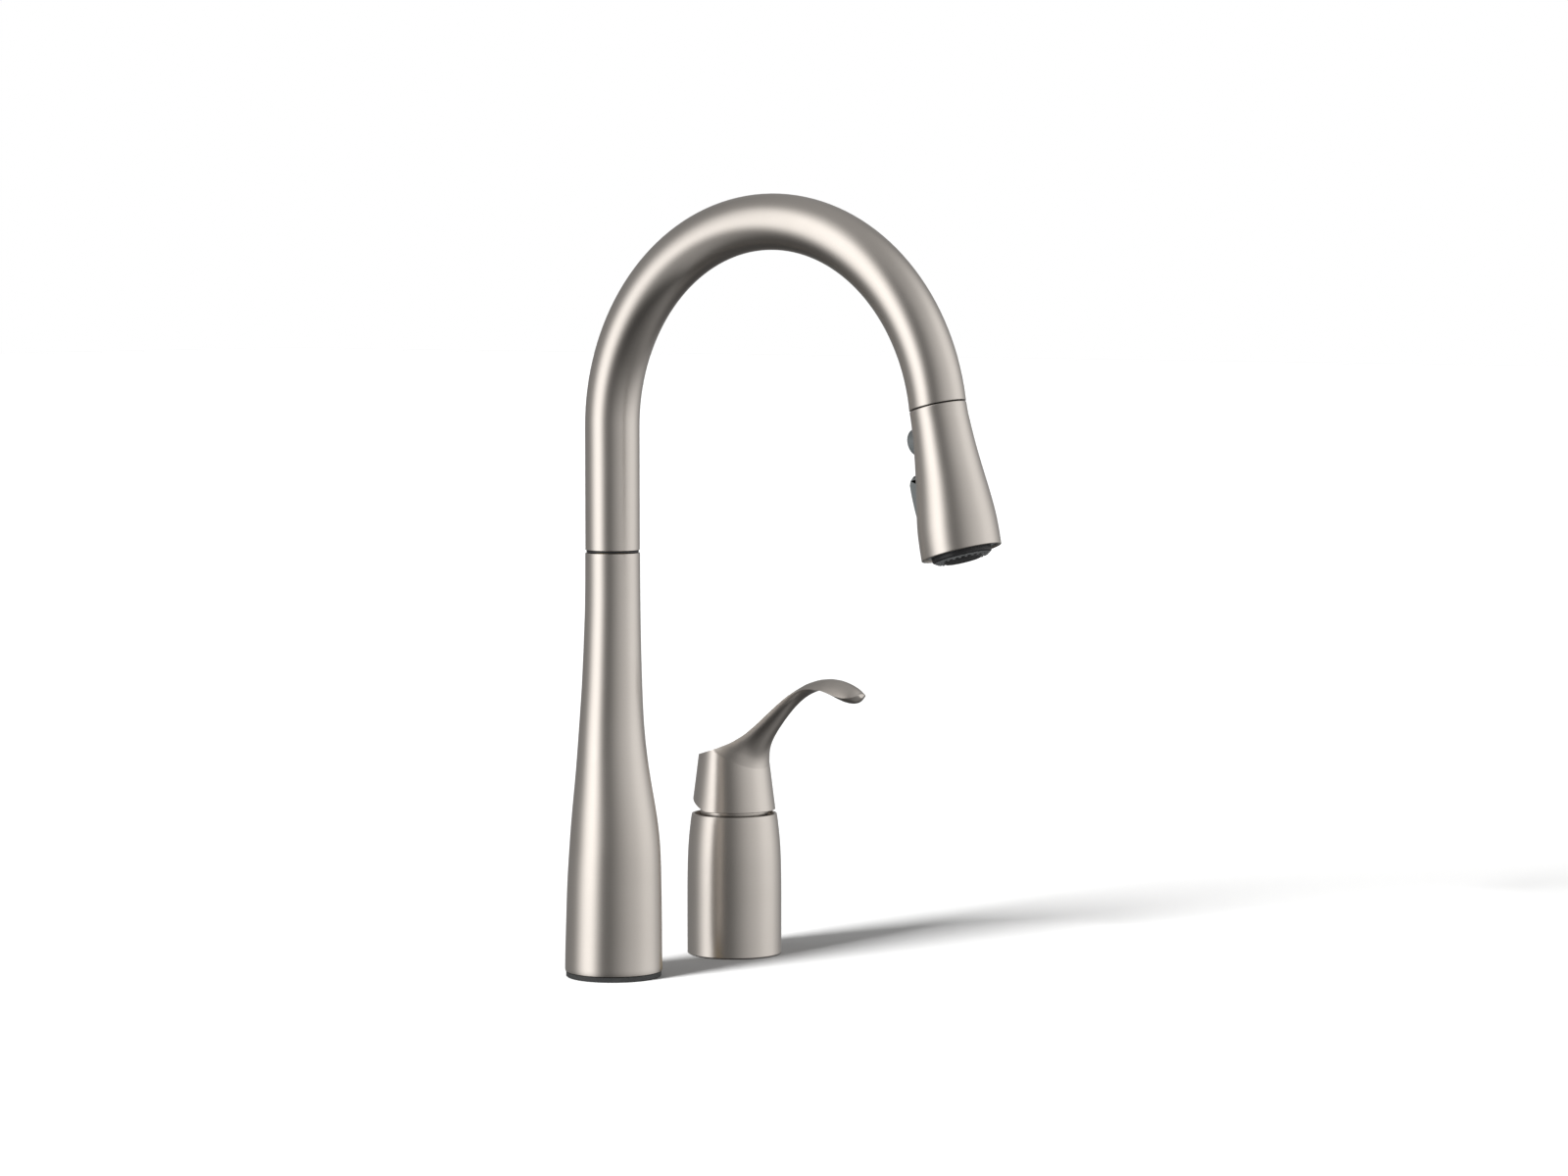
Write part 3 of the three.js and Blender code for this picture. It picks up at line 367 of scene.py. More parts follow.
def braidedNylon(name, light, dark):
    # crossing diagonal strands round the hose, from distance along it and the angle round it
    finish, start, place, feed = newFinish(name, {"Metallic": 0.0, "IOR": 1.5, "Sheen Weight": 0.15})
    along = start.node("ShaderNodeAttribute", {"attribute_name": "grainRow"}, out=2)
    angle = start.node("ShaderNodeAttribute", {"attribute_name": "grainTurn"}, out=2)
    left = start.math("SINE", along * 0.9 + angle * 9.0)
    right = start.math("SINE", along * 0.9 - angle * 9.0)
    weave = start.math("MAXIMUM", left, right) * 0.5 + 0.5
    fuzz = start.noise(place, 0.35, 2.0, 0.6)
    feed(Base_Color=(weave * 0.75 + fuzz * 0.25).blend((*dark, 1), (*light, 1)),
         Roughness=0.7 - weave * 0.2 + (fuzz - 0.5) * 0.1,
         Normal=start.bump(weave * 0.85 + fuzz * 0.15, 0.25, 0.6))
    return finish


nickel = brushedNickel("satinNickel", True)
nickelPlain = brushedNickel("satinNickelPlain", False)
brassMetal = castMetal("machinedBrass", (0.66, 0.49, 0.22), (0.44, 0.30, 0.13), 0.3)
steelMetal = castMetal("stainlessSteel", (0.56, 0.555, 0.545), (0.43, 0.42, 0.41), 0.3)
copperMetal = castMetal("copperTube", (0.72, 0.40, 0.27), (0.46, 0.24, 0.16), 0.28, 9)
darkRubber = softRubber("darkRubber", (0.04, 0.041, 0.042), (0.075, 0.077, 0.077))
nozzleRubber = softRubber("nozzleRubber", (0.085, 0.088, 0.09), (0.14, 0.145, 0.145))
blackPlastic = mouldedPlastic("blackPlastic", (0.02, 0.02, 0.021), (0.01, 0.01, 0.011), 0.4)
greyPlastic = mouldedPlastic("greyPlastic", (0.142, 0.157, 0.160), (0.108, 0.12, 0.123), 0.42)
whitePlastic = mouldedPlastic("whitePlastic", (0.72, 0.70, 0.65), (0.62, 0.60, 0.55), 0.45)
hoseBraid = braidedNylon("hoseBraid", (0.20, 0.20, 0.205), (0.045, 0.045, 0.048))
slotFinishes = {"satin_nickel": nickelPlain, "brass": brassMetal, "steel": steelMetal, "copper": copperMetal,
                "dark_rubber": darkRubber, "black_plastic": blackPlastic, "grey_plastic": greyPlastic,
                "white_plastic": whitePlastic, "braid": greyPlastic}
print("finishes made")


# spout column: straight foot, waist, slim neck

column = {
    # height, radius, drift of the section's centre along Y
    "rows": [[3.2, 25.7, 0.0], [10, 25.62, 0.0], [18.5, 25.48, -0.1], [28.9, 25.3, -0.3], [39.3, 25.1, -0.45],
             [49.8, 24.82, -0.6], [60.2, 24.42, -0.85], [70.6, 23.82, -1.0], [80.9, 22.9, -0.8],
             [91.3, 21.66, -0.4], [101.7, 20.26, 0.1], [112.1, 19.0, 0.55], [122.5, 17.96, 0.85],
             [132.8, 17.12, 0.95], [143.2, 16.46, 0.85], [153.5, 15.92, 0.65], [163.9, 15.5, 0.5],
             [174.2, 15.14, 0.35], [184.5, 14.84, 0.2], [194.8, 14.6, 0.05], [208, 14.45, 0.0],
             [223.4, 14.38, 0.0]],
    "top": 223.9, "edge": 0.5, "wall": 2.6, "footWall": 8.5, "sides": 96, "foldUnder": 0.1,
    "mouthDepth": 20, "boreFoot": 20, "cavityTop": 16,
}


def spoutColumn():
    rows = smoothRows(column["rows"], 4)
    bottom, foot = rows[0][0], rows[0][1]
    neck = rows[-1][1]
    edge, top = column["edge"], column["top"]
    under, inner, cavity = bottom - column["foldUnder"], neck - column["wall"], foot - column["footWall"]
    places = [ringPlace((0, 0, under), foot - edge)]
    places += [ringPlace((0, 0, bottom), foot - edge * 0.35)]
    places += [ringPlace((0, drift, height), radius) for height, radius, drift in rows[1:]]
    places += [ringPlace((0, 0, top - edge * 0.3), neck - edge * 0.3), ringPlace((0, 0, top), neck - edge)]
    places += [ringPlace((0, 0, height), inner)
               for height in (top, top - column["mouthDepth"], column["boreFoot"])]
    places += [ringPlace((0, 0, height), cavity) for height in (column["cavityTop"], under)]
    bm = sleeve(places, column["sides"])
    grainRows(bm, lambda spot: spot.z)
    return addPiece(bm, "spoutColumn", "fixed_parts", nickel, ["spout_column"])


spoutColumn()

footRings = {"columnRadius": 25.1, "columnHeight": 2.8, "valveRadius": 22.8, "valveHeight": 0.8, "bore": 16.0}


def footRing(name, radius, height, centre, replaced):
    bm = turned([[footRings["bore"], 0], [radius - 0.5, 0], [radius, 0.4], [radius, height - 0.2],
                 [radius - 0.2, height], [footRings["bore"], height]], 96, 0, centre)
    return addPiece(bm, name, "fixed_parts", darkRubber, [replaced])


valveX = (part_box("valve_barrel")[0].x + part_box("valve_barrel")[1].x) / 2 / mm
footRing("columnFootRing", footRings["columnRadius"], footRings["columnHeight"], (0, 0), "base_gasket")
footRing("valveFootRing", footRings["valveRadius"], footRings["valveHeight"], (valveX, 0), "valve_gasket")


# gooseneck tube

gooseneck = {
    "firstRise": 12, "straight": [250, 270], "overrun": 1.6, "radius": 14.28, "wall": 1.4,
    "bottom": 225.4, "edge": 0.5, "arcRadius": 106, "arcHeight": 290, "arcAngle": 172.2, "seamTilt": 14.2,
    "seamHalfGap": 0.3, "sides": 72, "arcSteps": 70,
}


def arcPlace(degrees, radius):
    angle = math.radians(degrees)
    reach, height = gooseneck["arcRadius"], gooseneck["arcHeight"]
    centre = (0, -reach + reach * math.cos(angle), height + reach * math.sin(angle))
    return ringPlace(centre, radius, Matrix.Rotation(angle, 4, "X"))


seamPoint = arcPlace(gooseneck["arcAngle"], 1).to_translation()
headPlace = Matrix.Translation(seamPoint) @ Matrix.Rotation(math.radians(-gooseneck["seamTilt"]), 4, "X")
headUp = headPlace.to_3x3() @ Vector((0, 0, 1))


def tubeShell(radius):
    # one wall of the tube, cut off flat at the seam
    straight = [gooseneck["bottom"], gooseneck["bottom"] + gooseneck["firstRise"], *gooseneck["straight"]]
    places = [ringPlace((0, 0, height), radius) for height in straight]
    safe = gooseneck["arcAngle"] - gooseneck["overrun"]
    steps = gooseneck["arcSteps"]
    places += [arcPlace(safe * i / steps, radius) for i in range(steps + 1)]
    places += [arcPlace(gooseneck["arcAngle"] + gooseneck["overrun"], radius)]
    bm = bmesh.new()
    ring = startRing(bm, places[0], gooseneck["sides"])
    for before, after in zip(places, places[1:]):
        fresh, ring = growRing(bm, ring)
        bmesh.ops.transform(bm, matrix=after @ before.inverted(), verts=fresh)
    layer = bm.verts.layers.float.new("grainRow")
    for vert in bm.verts:
        spot = vert.co / mm
        turn = math.atan2(spot.z - gooseneck["arcHeight"], spot.y + gooseneck["arcRadius"])
        onArc = spot.z > gooseneck["arcHeight"]
        vert[layer] = gooseneck["arcHeight"] + turn * gooseneck["arcRadius"] if onArc else spot.z
    ends = [vert for vert in bm.verts if vert.co.y < seamPoint.y * 0.8]
    near = ends + [edge for edge in bm.edges if edge.verts[0] in set(ends)]
    near += [face for face in bm.faces if face.calc_center_median().y < seamPoint.y * 0.8]
    bmesh.ops.bisect_plane(bm, geom=near, plane_co=seamPoint + headUp * gooseneck["seamHalfGap"] * mm,
                           plane_no=-headUp, clear_outer=True)
    return bm


def spoutTube():
    bm = merged(tubeShell(gooseneck["radius"]), tubeShell(gooseneck["radius"] - gooseneck["wall"]))
    loose = [edge for edge in bm.edges if edge.is_boundary]
    low = [edge for edge in loose if edge.verts[0].co.y > seamPoint.y / 2]
    high = [edge for edge in loose if edge.verts[0].co.y <= seamPoint.y / 2]
    for pair in (low, high):
        bmesh.ops.bridge_loops(bm, edges=pair)
    bmesh.ops.recalc_face_normals(bm, faces=bm.faces)
    roundRims(bm, gooseneck["edge"], 50)
    return addPiece(bm, "spoutTube", "spout", nickel, ["spout_tube"])


spoutTube()

swivelRing = {"inner": 11.4, "outer": 13.75, "bottom": 224.15, "top": 225.15}
addPiece(turned([[swivelRing["inner"], swivelRing["bottom"]], [swivelRing["outer"], swivelRing["bottom"]],
                 [swivelRing["outer"], swivelRing["top"]], [swivelRing["inner"], swivelRing["top"]]], 96,
                 0.2),
         "swivelRing", "fixed_parts", blackPlastic, ["swivel_ring"])
print("spout made")


# sprayhead shell, about its own axis: seam at zero, +Z back up the spout, +Y to the column

sprayhead = {
    # depth below the seam, radius, drift of the centre towards the column
    "rows": [[0.35, 14.3, 0.0], [6, 14.36, 0.26], [12, 14.7, 0.45], [19, 15.25, 0.72], [26, 15.95, 0.98],
             [34, 16.9, 1.3], [42, 18.0, 1.68], [50, 19.05, 2.12], [58, 19.88, 2.56], [66, 20.2, 2.98],
             [73.6, 20.18, 3.34]],
    "length": 74.4, "lipTilt": 2.4, "lipBack": 3.4, "wall": 1.6, "edge": 0.45, "sides": 96,
}


def headPlaces(inset):
    places = []
    for depth, radius, drift in smoothRows(sprayhead["rows"], 4):
        tilt = math.radians(sprayhead["lipTilt"]) * depth / sprayhead["length"]
        places.append(ringPlace((0, drift, -depth), radius - inset, Matrix.Rotation(-tilt, 4, "X")))
    return places


def headBack(depth):
    # how far the back of the sprayhead stands off its axis
    rows = smoothRows(sprayhead["rows"], 8)
    near = min(rows, key=lambda row: abs(row[0] - depth))
    return near[1] + near[2]


lipPlace = (headPlace @ Matrix.Translation((0, sprayhead["lipBack"] * mm, -sprayhead["length"] * mm))
            @ Matrix.Rotation(math.radians(-sprayhead["lipTilt"]), 4, "X"))

controls = {"buttonDepth": 14.7, "buttonRadius": 7, "buttonProud": 2.8, "buttonInside": 5, "rockerTop": 31,
            "rockerBottom": 55, "rockerWidth": 11, "rockerProud": 4.3, "rockerHeight": 9, "rockerCorner": 4.2,
            "pocketReach": 20, "slack": 0.4}
backwards = Matrix.Rotation(math.radians(-90), 4, "X")   # turns a piece made about Z to point out of the back


def sprayShell():
    outer, inner = headPlaces(0), headPlaces(sprayhead["wall"])
    bm = sleeve(outer + inner[::-1], sprayhead["sides"])
    roundRims(bm, sprayhead["edge"], 60)
    slack = controls["slack"]
    back = headBack(controls["buttonDepth"])
    low, high = back - controls["pocketReach"] / 2, back + controls["pocketReach"] / 2
    buttonHole = moved(turned([[0, low], [controls["buttonRadius"] + slack, low],
                               [controls["buttonRadius"] + slack, high], [0, high]], 64, 0),
                       Matrix.Translation((0, 0, -controls["buttonDepth"] * mm)) @ backwards)
    middle = -(controls["rockerTop"] + controls["rockerBottom"]) / 2
    length = controls["rockerBottom"] - controls["rockerTop"] + 3 * slack
    rockerHole = slab(controls["rockerWidth"] + 2 * slack, controls["pocketReach"], length,
                      (0, back + controls["rockerHeight"] / 2, middle), 0)
    corners = [edge for edge in rockerHole.edges
               if abs(edge.verts[0].co.x - edge.verts[1].co.x) < 1e-6
               and abs(edge.verts[0].co.z - edge.verts[1].co.z) < 1e-6]
    bmesh.ops.bevel(rockerHole, geom=corners, offset=(controls["rockerCorner"] + slack) * mm,
                    offset_type="OFFSET",
                    affect="EDGES", segments=10, profile=0.5, material=-1)
    bm = carve(bm, buttonHole, rockerHole)
    grainRows(bm, lambda spot: spot.z)
    return addPiece(moved(bm, headPlace), "sprayShell", "sprayhead", nickel, ["spray_shell"],
                    42)


sprayShell()


def modeButton():
    # a round button with a soft rim and a shallow dish
    radius = controls["buttonRadius"]
    back = headBack(controls["buttonDepth"])
    front = back + controls["buttonProud"]
    inside = back - controls["buttonInside"]
    rows = [[0, inside], [radius, inside], [radius, front - 1.5], [radius - 0.2, front - 0.8],
            [radius - 0.7, front - 0.2], [radius - 1.5, front], [radius - 2.5, front - 0.05],
            [radius * 0.35, front - 0.45], [0, front - 0.5]]
    bm = moved(turned(rows, 64, 0), Matrix.Translation((0, 0, -controls["buttonDepth"] * mm)) @ backwards)
    return addPiece(moved(bm, headPlace), "modeButton", "button", greyPlastic,
                    ["mode_button"])


modeButton()


def flowRocker():
    # a long rounded paddle, proud at its top end and running out flush below
    top, bottom, width = controls["rockerTop"], controls["rockerBottom"], controls["rockerWidth"]
    proud = controls["rockerProud"]
    middle = (top + bottom) / 2
    height = controls["rockerHeight"]
    bm = slab(width, height, bottom - top, (0, headBack(middle) - height / 2, -middle), 0)
    bmesh.ops.subdivide_edges(bm, edges=bm.edges, cuts=11, use_grid_fill=True)
    for vert in bm.verts:
        spot = vert.co / mm
        depth = -spot.z
        share = (depth - top) / (bottom - top)
        if spot.y > headBack(middle) - 6:
            rise = min(1, (share + 0.02) * 7) ** 0.5
            crown = proud * rise * (1 - (max(0, share - 0.14) / 0.86) ** 1.3)
            lift = headBack(depth) + crown - 0.35 * (2 * spot.x / width) ** 2
            vert.co.y = (spot.y + (lift - headBack(middle))) * mm
    corners = [edge for edge in bm.edges if edge.calc_face_angle(0) > math.radians(60)
               and abs(edge.verts[0].co.x) > width / 2 * mm * 0.99
               and abs(edge.verts[1].co.x) > width / 2 * mm * 0.99
               and abs(edge.verts[0].co.z - edge.verts[1].co.z) < 1e-5
               and abs(abs(edge.verts[0].co.z / mm) - middle) > (bottom - top) / 2 - 0.1]
    bmesh.ops.bevel(bm, geom=corners, offset=controls["rockerCorner"] * mm, offset_type="OFFSET",
                    affect="EDGES",
                    segments=8, profile=0.5, material=-1)
    roundRims(bm, 0.7, 50)
    return addPiece(moved(bm, headPlace), "flowRocker", "rocker", greyPlastic,
                    ["flow_rocker"])


flowRocker()


# spray face, about the centre of the lip, +Z into the sprayhead

sprayFace = {"radius": 15, "bore": 2, "drop": 1.3, "height": 9, "partGap": 0.15, "plate": 0.4,
             "nozzles": 24, "nozzleCircle": 12.2, "nozzleRadius": 0.85, "nozzleHeight": 0.7, "plateEdge": 14,
             "discRadius": 9.4, "discHeight": 1.8, "dishRim": 1.4, "dishDepth": 0.45, "bar": 0.35,
             "barPitch": 1.15,
             "collarInner": 15.3, "collarOuter": 18, "collarLow": 2, "collarHigh": 4.5}


def facePlate():
    face = sprayFace
    low, radius, disc = -face["drop"], face["radius"], face["discRadius"]
    return turned([[face["bore"], low], [disc + 0.5, low], [disc + 0.8, low + 0.5], [radius - 1.1, low + 0.5],
                   [radius - 0.9, low], [radius - 0.5, low], [radius, low + 0.6],
                   [radius, low + face["height"]],
                   [face["bore"], low + face["height"]]], 96, 0.12)


def nozzleRing():
    # a thin rubber plate with short hollow nozzles
    face = sprayFace
    high = -face["drop"] - face["partGap"]
    low = high - face["plate"]
    inner, outer = face["discRadius"] + 0.35, face["plateEdge"]
    ring = turned([[inner, low], [outer - 0.2, low], [outer, high], [inner, high]], 96, 0.08)
    tips = []
    for i in range(face["nozzles"]):
        angle = 2 * math.pi * i / face["nozzles"]
        centre = (face["nozzleCircle"] * math.cos(angle), face["nozzleCircle"] * math.sin(angle))
        radius, tip = face["nozzleRadius"], low - face["nozzleHeight"]
        tips.append(turned([[0, low + 0.1], [radius, low + 0.1], [radius * 0.95, low - 0.3],
                            [radius * 0.78, tip + 0.1], [radius * 0.66, tip], [radius * 0.36, tip],
                            [radius * 0.3, tip + 0.4], [0, tip + 0.4]], 16, 0, centre))
    return merged(ring, *tips)


def aeratorDisc():
    # the lowest part of the face: a smooth rim round a shallow dish with a square mesh
    face = sprayFace
    high, radius = -face["drop"] - face["partGap"], face["discRadius"]
    low = high - face["discHeight"]
    rim, dish, bar = radius - face["dishRim"], low + face["dishDepth"], face["bar"]
    shape = turned([[0, high], [radius, high], [radius, low + 0.7], [radius - 0.3, low + 0.25],
                    [radius - 0.8, low], [rim + 0.1, low], [rim - 0.1, dish], [0, dish]], 72, 0.1)
    bars = []
    for step in range(-6, 7):
        offset = step * face["barPitch"]
        length = 2 * math.sqrt(rim ** 2 - offset ** 2) - 0.6
        bars.append(slab(length, bar, bar, (0, offset, dish - bar / 3), 0.06))
        bars.append(slab(bar, length, bar, (offset, 0, dish - bar / 2), 0.06))
    return merged(shape, *bars)


def faceCollar():
    # dark recess between the lip and the spray face
    face = sprayFace
    inner, outer = face["collarInner"], face["collarOuter"]
    low, high = face["collarLow"], face["collarHigh"]
    return turned([[inner, low], [outer, low], [outer, high], [inner, high]], 96, 0.2)


addPiece(moved(facePlate(), lipPlace), "facePlate", "sprayhead", blackPlastic,
         ["spray_face"])
addPiece(moved(nozzleRing(), lipPlace), "nozzleRing", "sprayhead", nozzleRubber,
         ["nozzle_ring"])
addPiece(moved(aeratorDisc(), lipPlace), "aeratorDisc", "sprayhead", blackPlastic,
         ["aerator"])
addPiece(moved(faceCollar(), lipPlace), "faceCollar", "sprayhead", greyPlastic, ["face_ring"])


# dock, collar and hose, seen when the sprayhead is pulled down

dock = {
    "outer": 11.8, "bore": 9.3, "bottom": 0.65, "length": 12, "chamfer": 0.5, "collarRadius": 8.9,
    "collarRise": 9, "collarBore": 7.5, "flangeRadius": 12.4, "flangeDepth": 6.4, "flangeTop": -0.7,
    "grooveLow": 3.1, "grooveHigh": 4.5, "grooveDepth": 0.35, "ringGap": 0.3, "ringHeight": 2,
    "ferruleRadius": 6.8, "ferruleLow": 6.3, "ferruleHigh": 16.5, "crimps": [9.8, 12.8], "crimpDepth": 0.3,
}


def dockPieces():
    bottom, top, chamfer = dock["bottom"], dock["bottom"] + dock["length"], dock["chamfer"]
    rise, bore, radius = dock["collarRise"], dock["collarBore"], dock["collarRadius"]
    adapter = turned([[dock["bore"] + chamfer, bottom], [dock["outer"], bottom], [dock["outer"], top],
                      [dock["bore"], top], [dock["bore"], bottom + 2 * chamfer]], 72, 0.2)
    addPiece(moved(adapter, headPlace), "dockAdapter", "spout", blackPlastic,
             ["dock_adapter"])
    flange, shoulder, groove = dock["flangeRadius"], dock["flangeTop"], radius - dock["grooveDepth"]
    collar = turned([[bore, -dock["flangeDepth"]], [flange, -dock["flangeDepth"]], [flange, shoulder - 0.4],
                     [flange - 0.4, shoulder], [radius + 0.3, shoulder], [radius, shoulder + 0.3],
                     [radius, dock["grooveLow"]], [groove, dock["grooveLow"] + 0.2],
                     [groove, dock["grooveHigh"] - 0.2], [radius, dock["grooveHigh"]],
                     [radius, rise - chamfer],
                     [radius - chamfer, rise], [bore, rise]], 72, 0.12)
    addPiece(moved(collar, headPlace), "dockingCollar", "sprayhead", greyPlastic,
             ["docking_collar"])
    low, high = rise + dock["ringGap"], rise + dock["ringGap"] + dock["ringHeight"]
    inner, outer = bore + dock["ringGap"], radius - dock["ringGap"]
    ring = turned([[inner, low], [outer, low], [outer, high], [inner, high]], 72, 0.25)
    addPiece(moved(ring, headPlace), "collarRing", "sprayhead", steelMetal, ["collar_ring"])
    wide, low, high = dock["ferruleRadius"], dock["ferruleLow"], dock["ferruleHigh"]
    narrow = wide - dock["crimpDepth"]
    outline = [[0, low], [wide, low]]
    for crimp in dock["crimps"]:
        outline += [[wide, crimp - 0.6], [narrow, crimp - 0.4], [narrow, crimp + 0.4], [wide, crimp + 0.6]]
    outline += [[wide, high - chamfer], [wide - chamfer, high], [0, high]]
    addPiece(moved(turned(outline, 48, 0.12), headPlace), "hoseFerrule", "hose_tail", steelMetal,
             ["hose_ferrule"])


dockPieces()

hose = {"radius": 6.0, "start": 34.5, "end": 19.0, "low": 16.8, "joint": 31, "sides": 32, "steps": 40}


def hoseReach():
    # the stretch of hose that comes out of the spout with the sprayhead
    def upTube(distance):
        turn = math.degrees(distance / gooseneck["arcRadius"])
        return arcPlace(gooseneck["arcAngle"] - turn, hose["radius"])

    places = []
    first = headPlace @ Matrix.Translation((0, 0, hose["low"] * mm)) @ Matrix.Scale(hose["radius"] * mm, 4)
    joined = upTube(hose["joint"])
    for i in range(hose["steps"] + 1):
        share = i / hose["steps"]
        middle = first.to_translation().lerp(joined.to_translation(), share)
        turn = first.to_quaternion().slerp(joined.to_quaternion(), share).to_matrix().to_4x4()
        places.append(Matrix.Translation(middle) @ turn @ Matrix.Scale(hose["radius"] * mm, 4))
    places += [upTube(hose["joint"] + 2 * i) for i in range(1, 5)]
    bm = sleeve(places, hose["sides"], closed=False)
    rows = bm.verts.layers.float.new("grainRow")
    turns = bm.verts.layers.float.new("grainTurn")
    for vert in bm.verts:
        local = headPlace.inverted() @ vert.co
        vert[rows] = local.z / mm
        vert[turns] = math.atan2(local.x, local.y)
    piece = addPiece(bm, "hoseReach", None, hoseBraid, ["hose_end"], weighted=False)
    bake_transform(piece)
    return piece


hoseReach()
print("sprayhead made")


# mixing valve

valve = {
    # radius, height of the barrel's outline
    "rows": [[25.62, 0.75], [25.66, 12], [25.66, 26], [25.63, 39], [25.45, 49.6], [25.27, 54.9],
             [24.98, 60.3],
             [24.53, 65.7], [23.95, 71.1], [23.62, 73.8], [23.2, 76.3]],
    "bottom": 1.1, "skirt": 0.3, "skirtWall": 2.4, "top": 76.9, "mouth": 21.5, "seat": 18.95, "bore": 20.3,
    "mouthBevel": 0.3, "mouthDepth": 3.4, "seatTop": 3.6, "seatFoot": 5,
    "edge": 0.45,
}


def valveBarrel():
    rows = smoothRows(valve["rows"], 3)
    foot, neck = rows[0][0], rows[-1][0]
    edge, top = valve["edge"], valve["top"]
    skirt, bevel = valve["skirt"], valve["mouthBevel"]
    outline = [[valve["bore"], valve["bottom"]], [foot - valve["skirtWall"], valve["bottom"]],
               [foot - valve["skirtWall"], skirt], [foot - edge, skirt], *rows,
               [neck - edge * 0.35, top - edge * 0.25], [neck - edge * 1.2, top],
               [valve["mouth"] + bevel, top], [valve["mouth"], top - bevel],
               [valve["mouth"], top - valve["mouthDepth"]],
               [valve["seat"], top - valve["seatTop"]], [valve["seat"], top - valve["seatFoot"]],
               [valve["bore"], top - valve["seatFoot"]]]
    bm = grainRows(turned(outline, 96, 0, (valveX, 0)), lambda spot: spot.z)
    return addPiece(bm, "valveBarrel", "fixed_parts", nickel, ["valve_barrel"])


valveBarrel()

neckRing = {"radius": 18.5, "bore": 16.6, "bottom": 71.2, "top": 82.6}
addPiece(grainRows(turned([[neckRing["bore"], neckRing["bottom"]], [neckRing["radius"], neckRing["bottom"]],
                           [neckRing["radius"], neckRing["top"]], [neckRing["bore"], neckRing["top"]]],
                          96, 0.4, (valveX, 0)), lambda spot: spot.z + spot.xy.length),
         "neckRing", "fixed_parts", nickel, ["neck_ring"])


# handle: cap and lever in one, its rim running out into the lever's two edges

handle = {
    "capBottom": 78.9, "capRadius": 22.4, "reliefStart": 2.1, "reliefSlope": 0.44, "wall": 1.9,
    "ceiling": 101,
    "sides": 72, "wallSteps": 8,
    # top line: forward, height
    "top": [[-19.6, 108.2], [-15, 109.0], [-7, 110.8], [1, 113.2], [8.4, 116.7], [15.4, 121.6], [21.6, 127.2],
            [28.4, 133.6], [35.4, 139.8], [43, 145.9], [51, 150.4], [59, 152.9], [66.6, 153.8], [73, 153.3],
            [78.4, 151.9], [82.4, 150.2], [85, 148.6], [86.6, 147.0], [87.3, 145.8]],
    # rim forward, half width, reach back over the top, crown, underside forward, underside height
    "rings": [
        [0, 19.2, 19.4, 0.0, 19.2, 102.2], [4, 17.2, 14.5, 0.1, 19.4, 105.4],
        [8, 14.8, 10.5, 0.2, 20.0, 108.8],
        [12, 12.6, 7.4, 0.3, 21.2, 112.4], [16.5, 10.6, 5.2, 0.4, 23.1, 116.0],
        [21.5, 8.9, 3.6, 0.5, 25.9, 120.0],
        [27.5, 7.6, 2.6, 0.6, 29.9, 125.0], [34, 6.8, 2.0, 0.8, 34.9, 130.8],
        [41, 6.4, 1.6, 1.2, 40.6, 136.7],
        [48, 6.6, 1.2, 2.2, 47, 141.8], [54.5, 7.2, 1.0, 3.6, 53.6, 145.4], [60.5, 8.1, 0.8, 4.9, 60, 147.3],
        [66.5, 9.0, 0.6, 5.9, 66, 146.8], [71.5, 9.5, 0.5, 6.7, 70.8, 144.9],
        [76, 9.5, 0.4, 6.9, 75.4, 142.7],
        [79.8, 9.0, 0.3, 6.4, 79.6, 141.5], [82.8, 7.9, 0.2, 4.9, 82.8, 141.4],
        [85, 6.2, 0.1, 3.1, 85, 142.1],
        [86.3, 4.2, 0.1, 1.4, 86.3, 143.4], [87, 2.2, 0.0, 0.5, 87, 144.8]],
    "keelFrom": 42, "keelTo": 62,
    "screwHeight": 93, "screwHole": 2.3, "screwFrom": 12, "screwTo": 30, "edge": 0.3,
    "ceilingHole": 4, "ceilingRadius": 17.4, "footInset": 0.45, "footLift": 0.3, "lastShare": 0.985,
    "reliefEase": 2.5,
}


def topHeight(forward):
    rows = handle["top"]
    forward = min(max(forward, rows[0][0]), rows[-1][0])
    for low, high in zip(rows, rows[1:]):
        if forward <= high[0]:
            share = (forward - low[0]) / (high[0] - low[0])
            return low[1] + (high[1] - low[1]) * share
    return rows[-1][1]


def softTop(forward):
    # the top line averaged over a short stretch, so that it has no corners
    spots = [forward + 1.2 * step for step in (-2, -1, 0, 1, 2)]
    return sum(topHeight(spot) * weight for spot, weight in zip(spots, (1, 3, 4, 3, 1))) / 12


def handleRing(row, index):
    # one corner of a ring round the handle: the first half over the top, the other half underneath
    rim, half, back, crown, underForward, underHeight = row
    angle = 2 * math.pi * index / handle["sides"]
    across, up = math.cos(angle), math.sin(angle)
    if up >= 0:
        forward = rim - back * up
        return Vector((half * across, -forward, softTop(forward) - crown * across ** 2))
    rimHeight = softTop(rim) - crown
    keel = min(max((rim - handle["keelFrom"]) / (handle["keelTo"] - handle["keelFrom"]), 0), 1)
    deep = (-up) ** (1 + keel)
    return Vector((half * across, (rim - underForward) * deep - rim,
                   rimHeight + (underHeight - rimHeight) * deep))


def capFoot(index, inset=0.0):
    # the cap's bottom edge, lifted at the back to let the cap tip
    angle = 2 * math.pi * index / handle["sides"]
    radius = handle["capRadius"] - inset
    forward = -radius * math.sin(angle)
    over = max(0.0, -forward - handle["reliefStart"])
    lift = handle["reliefSlope"] * over * over / (over + handle["reliefEase"])
    return Vector((radius * math.cos(angle), -forward, handle["capBottom"] + lift))


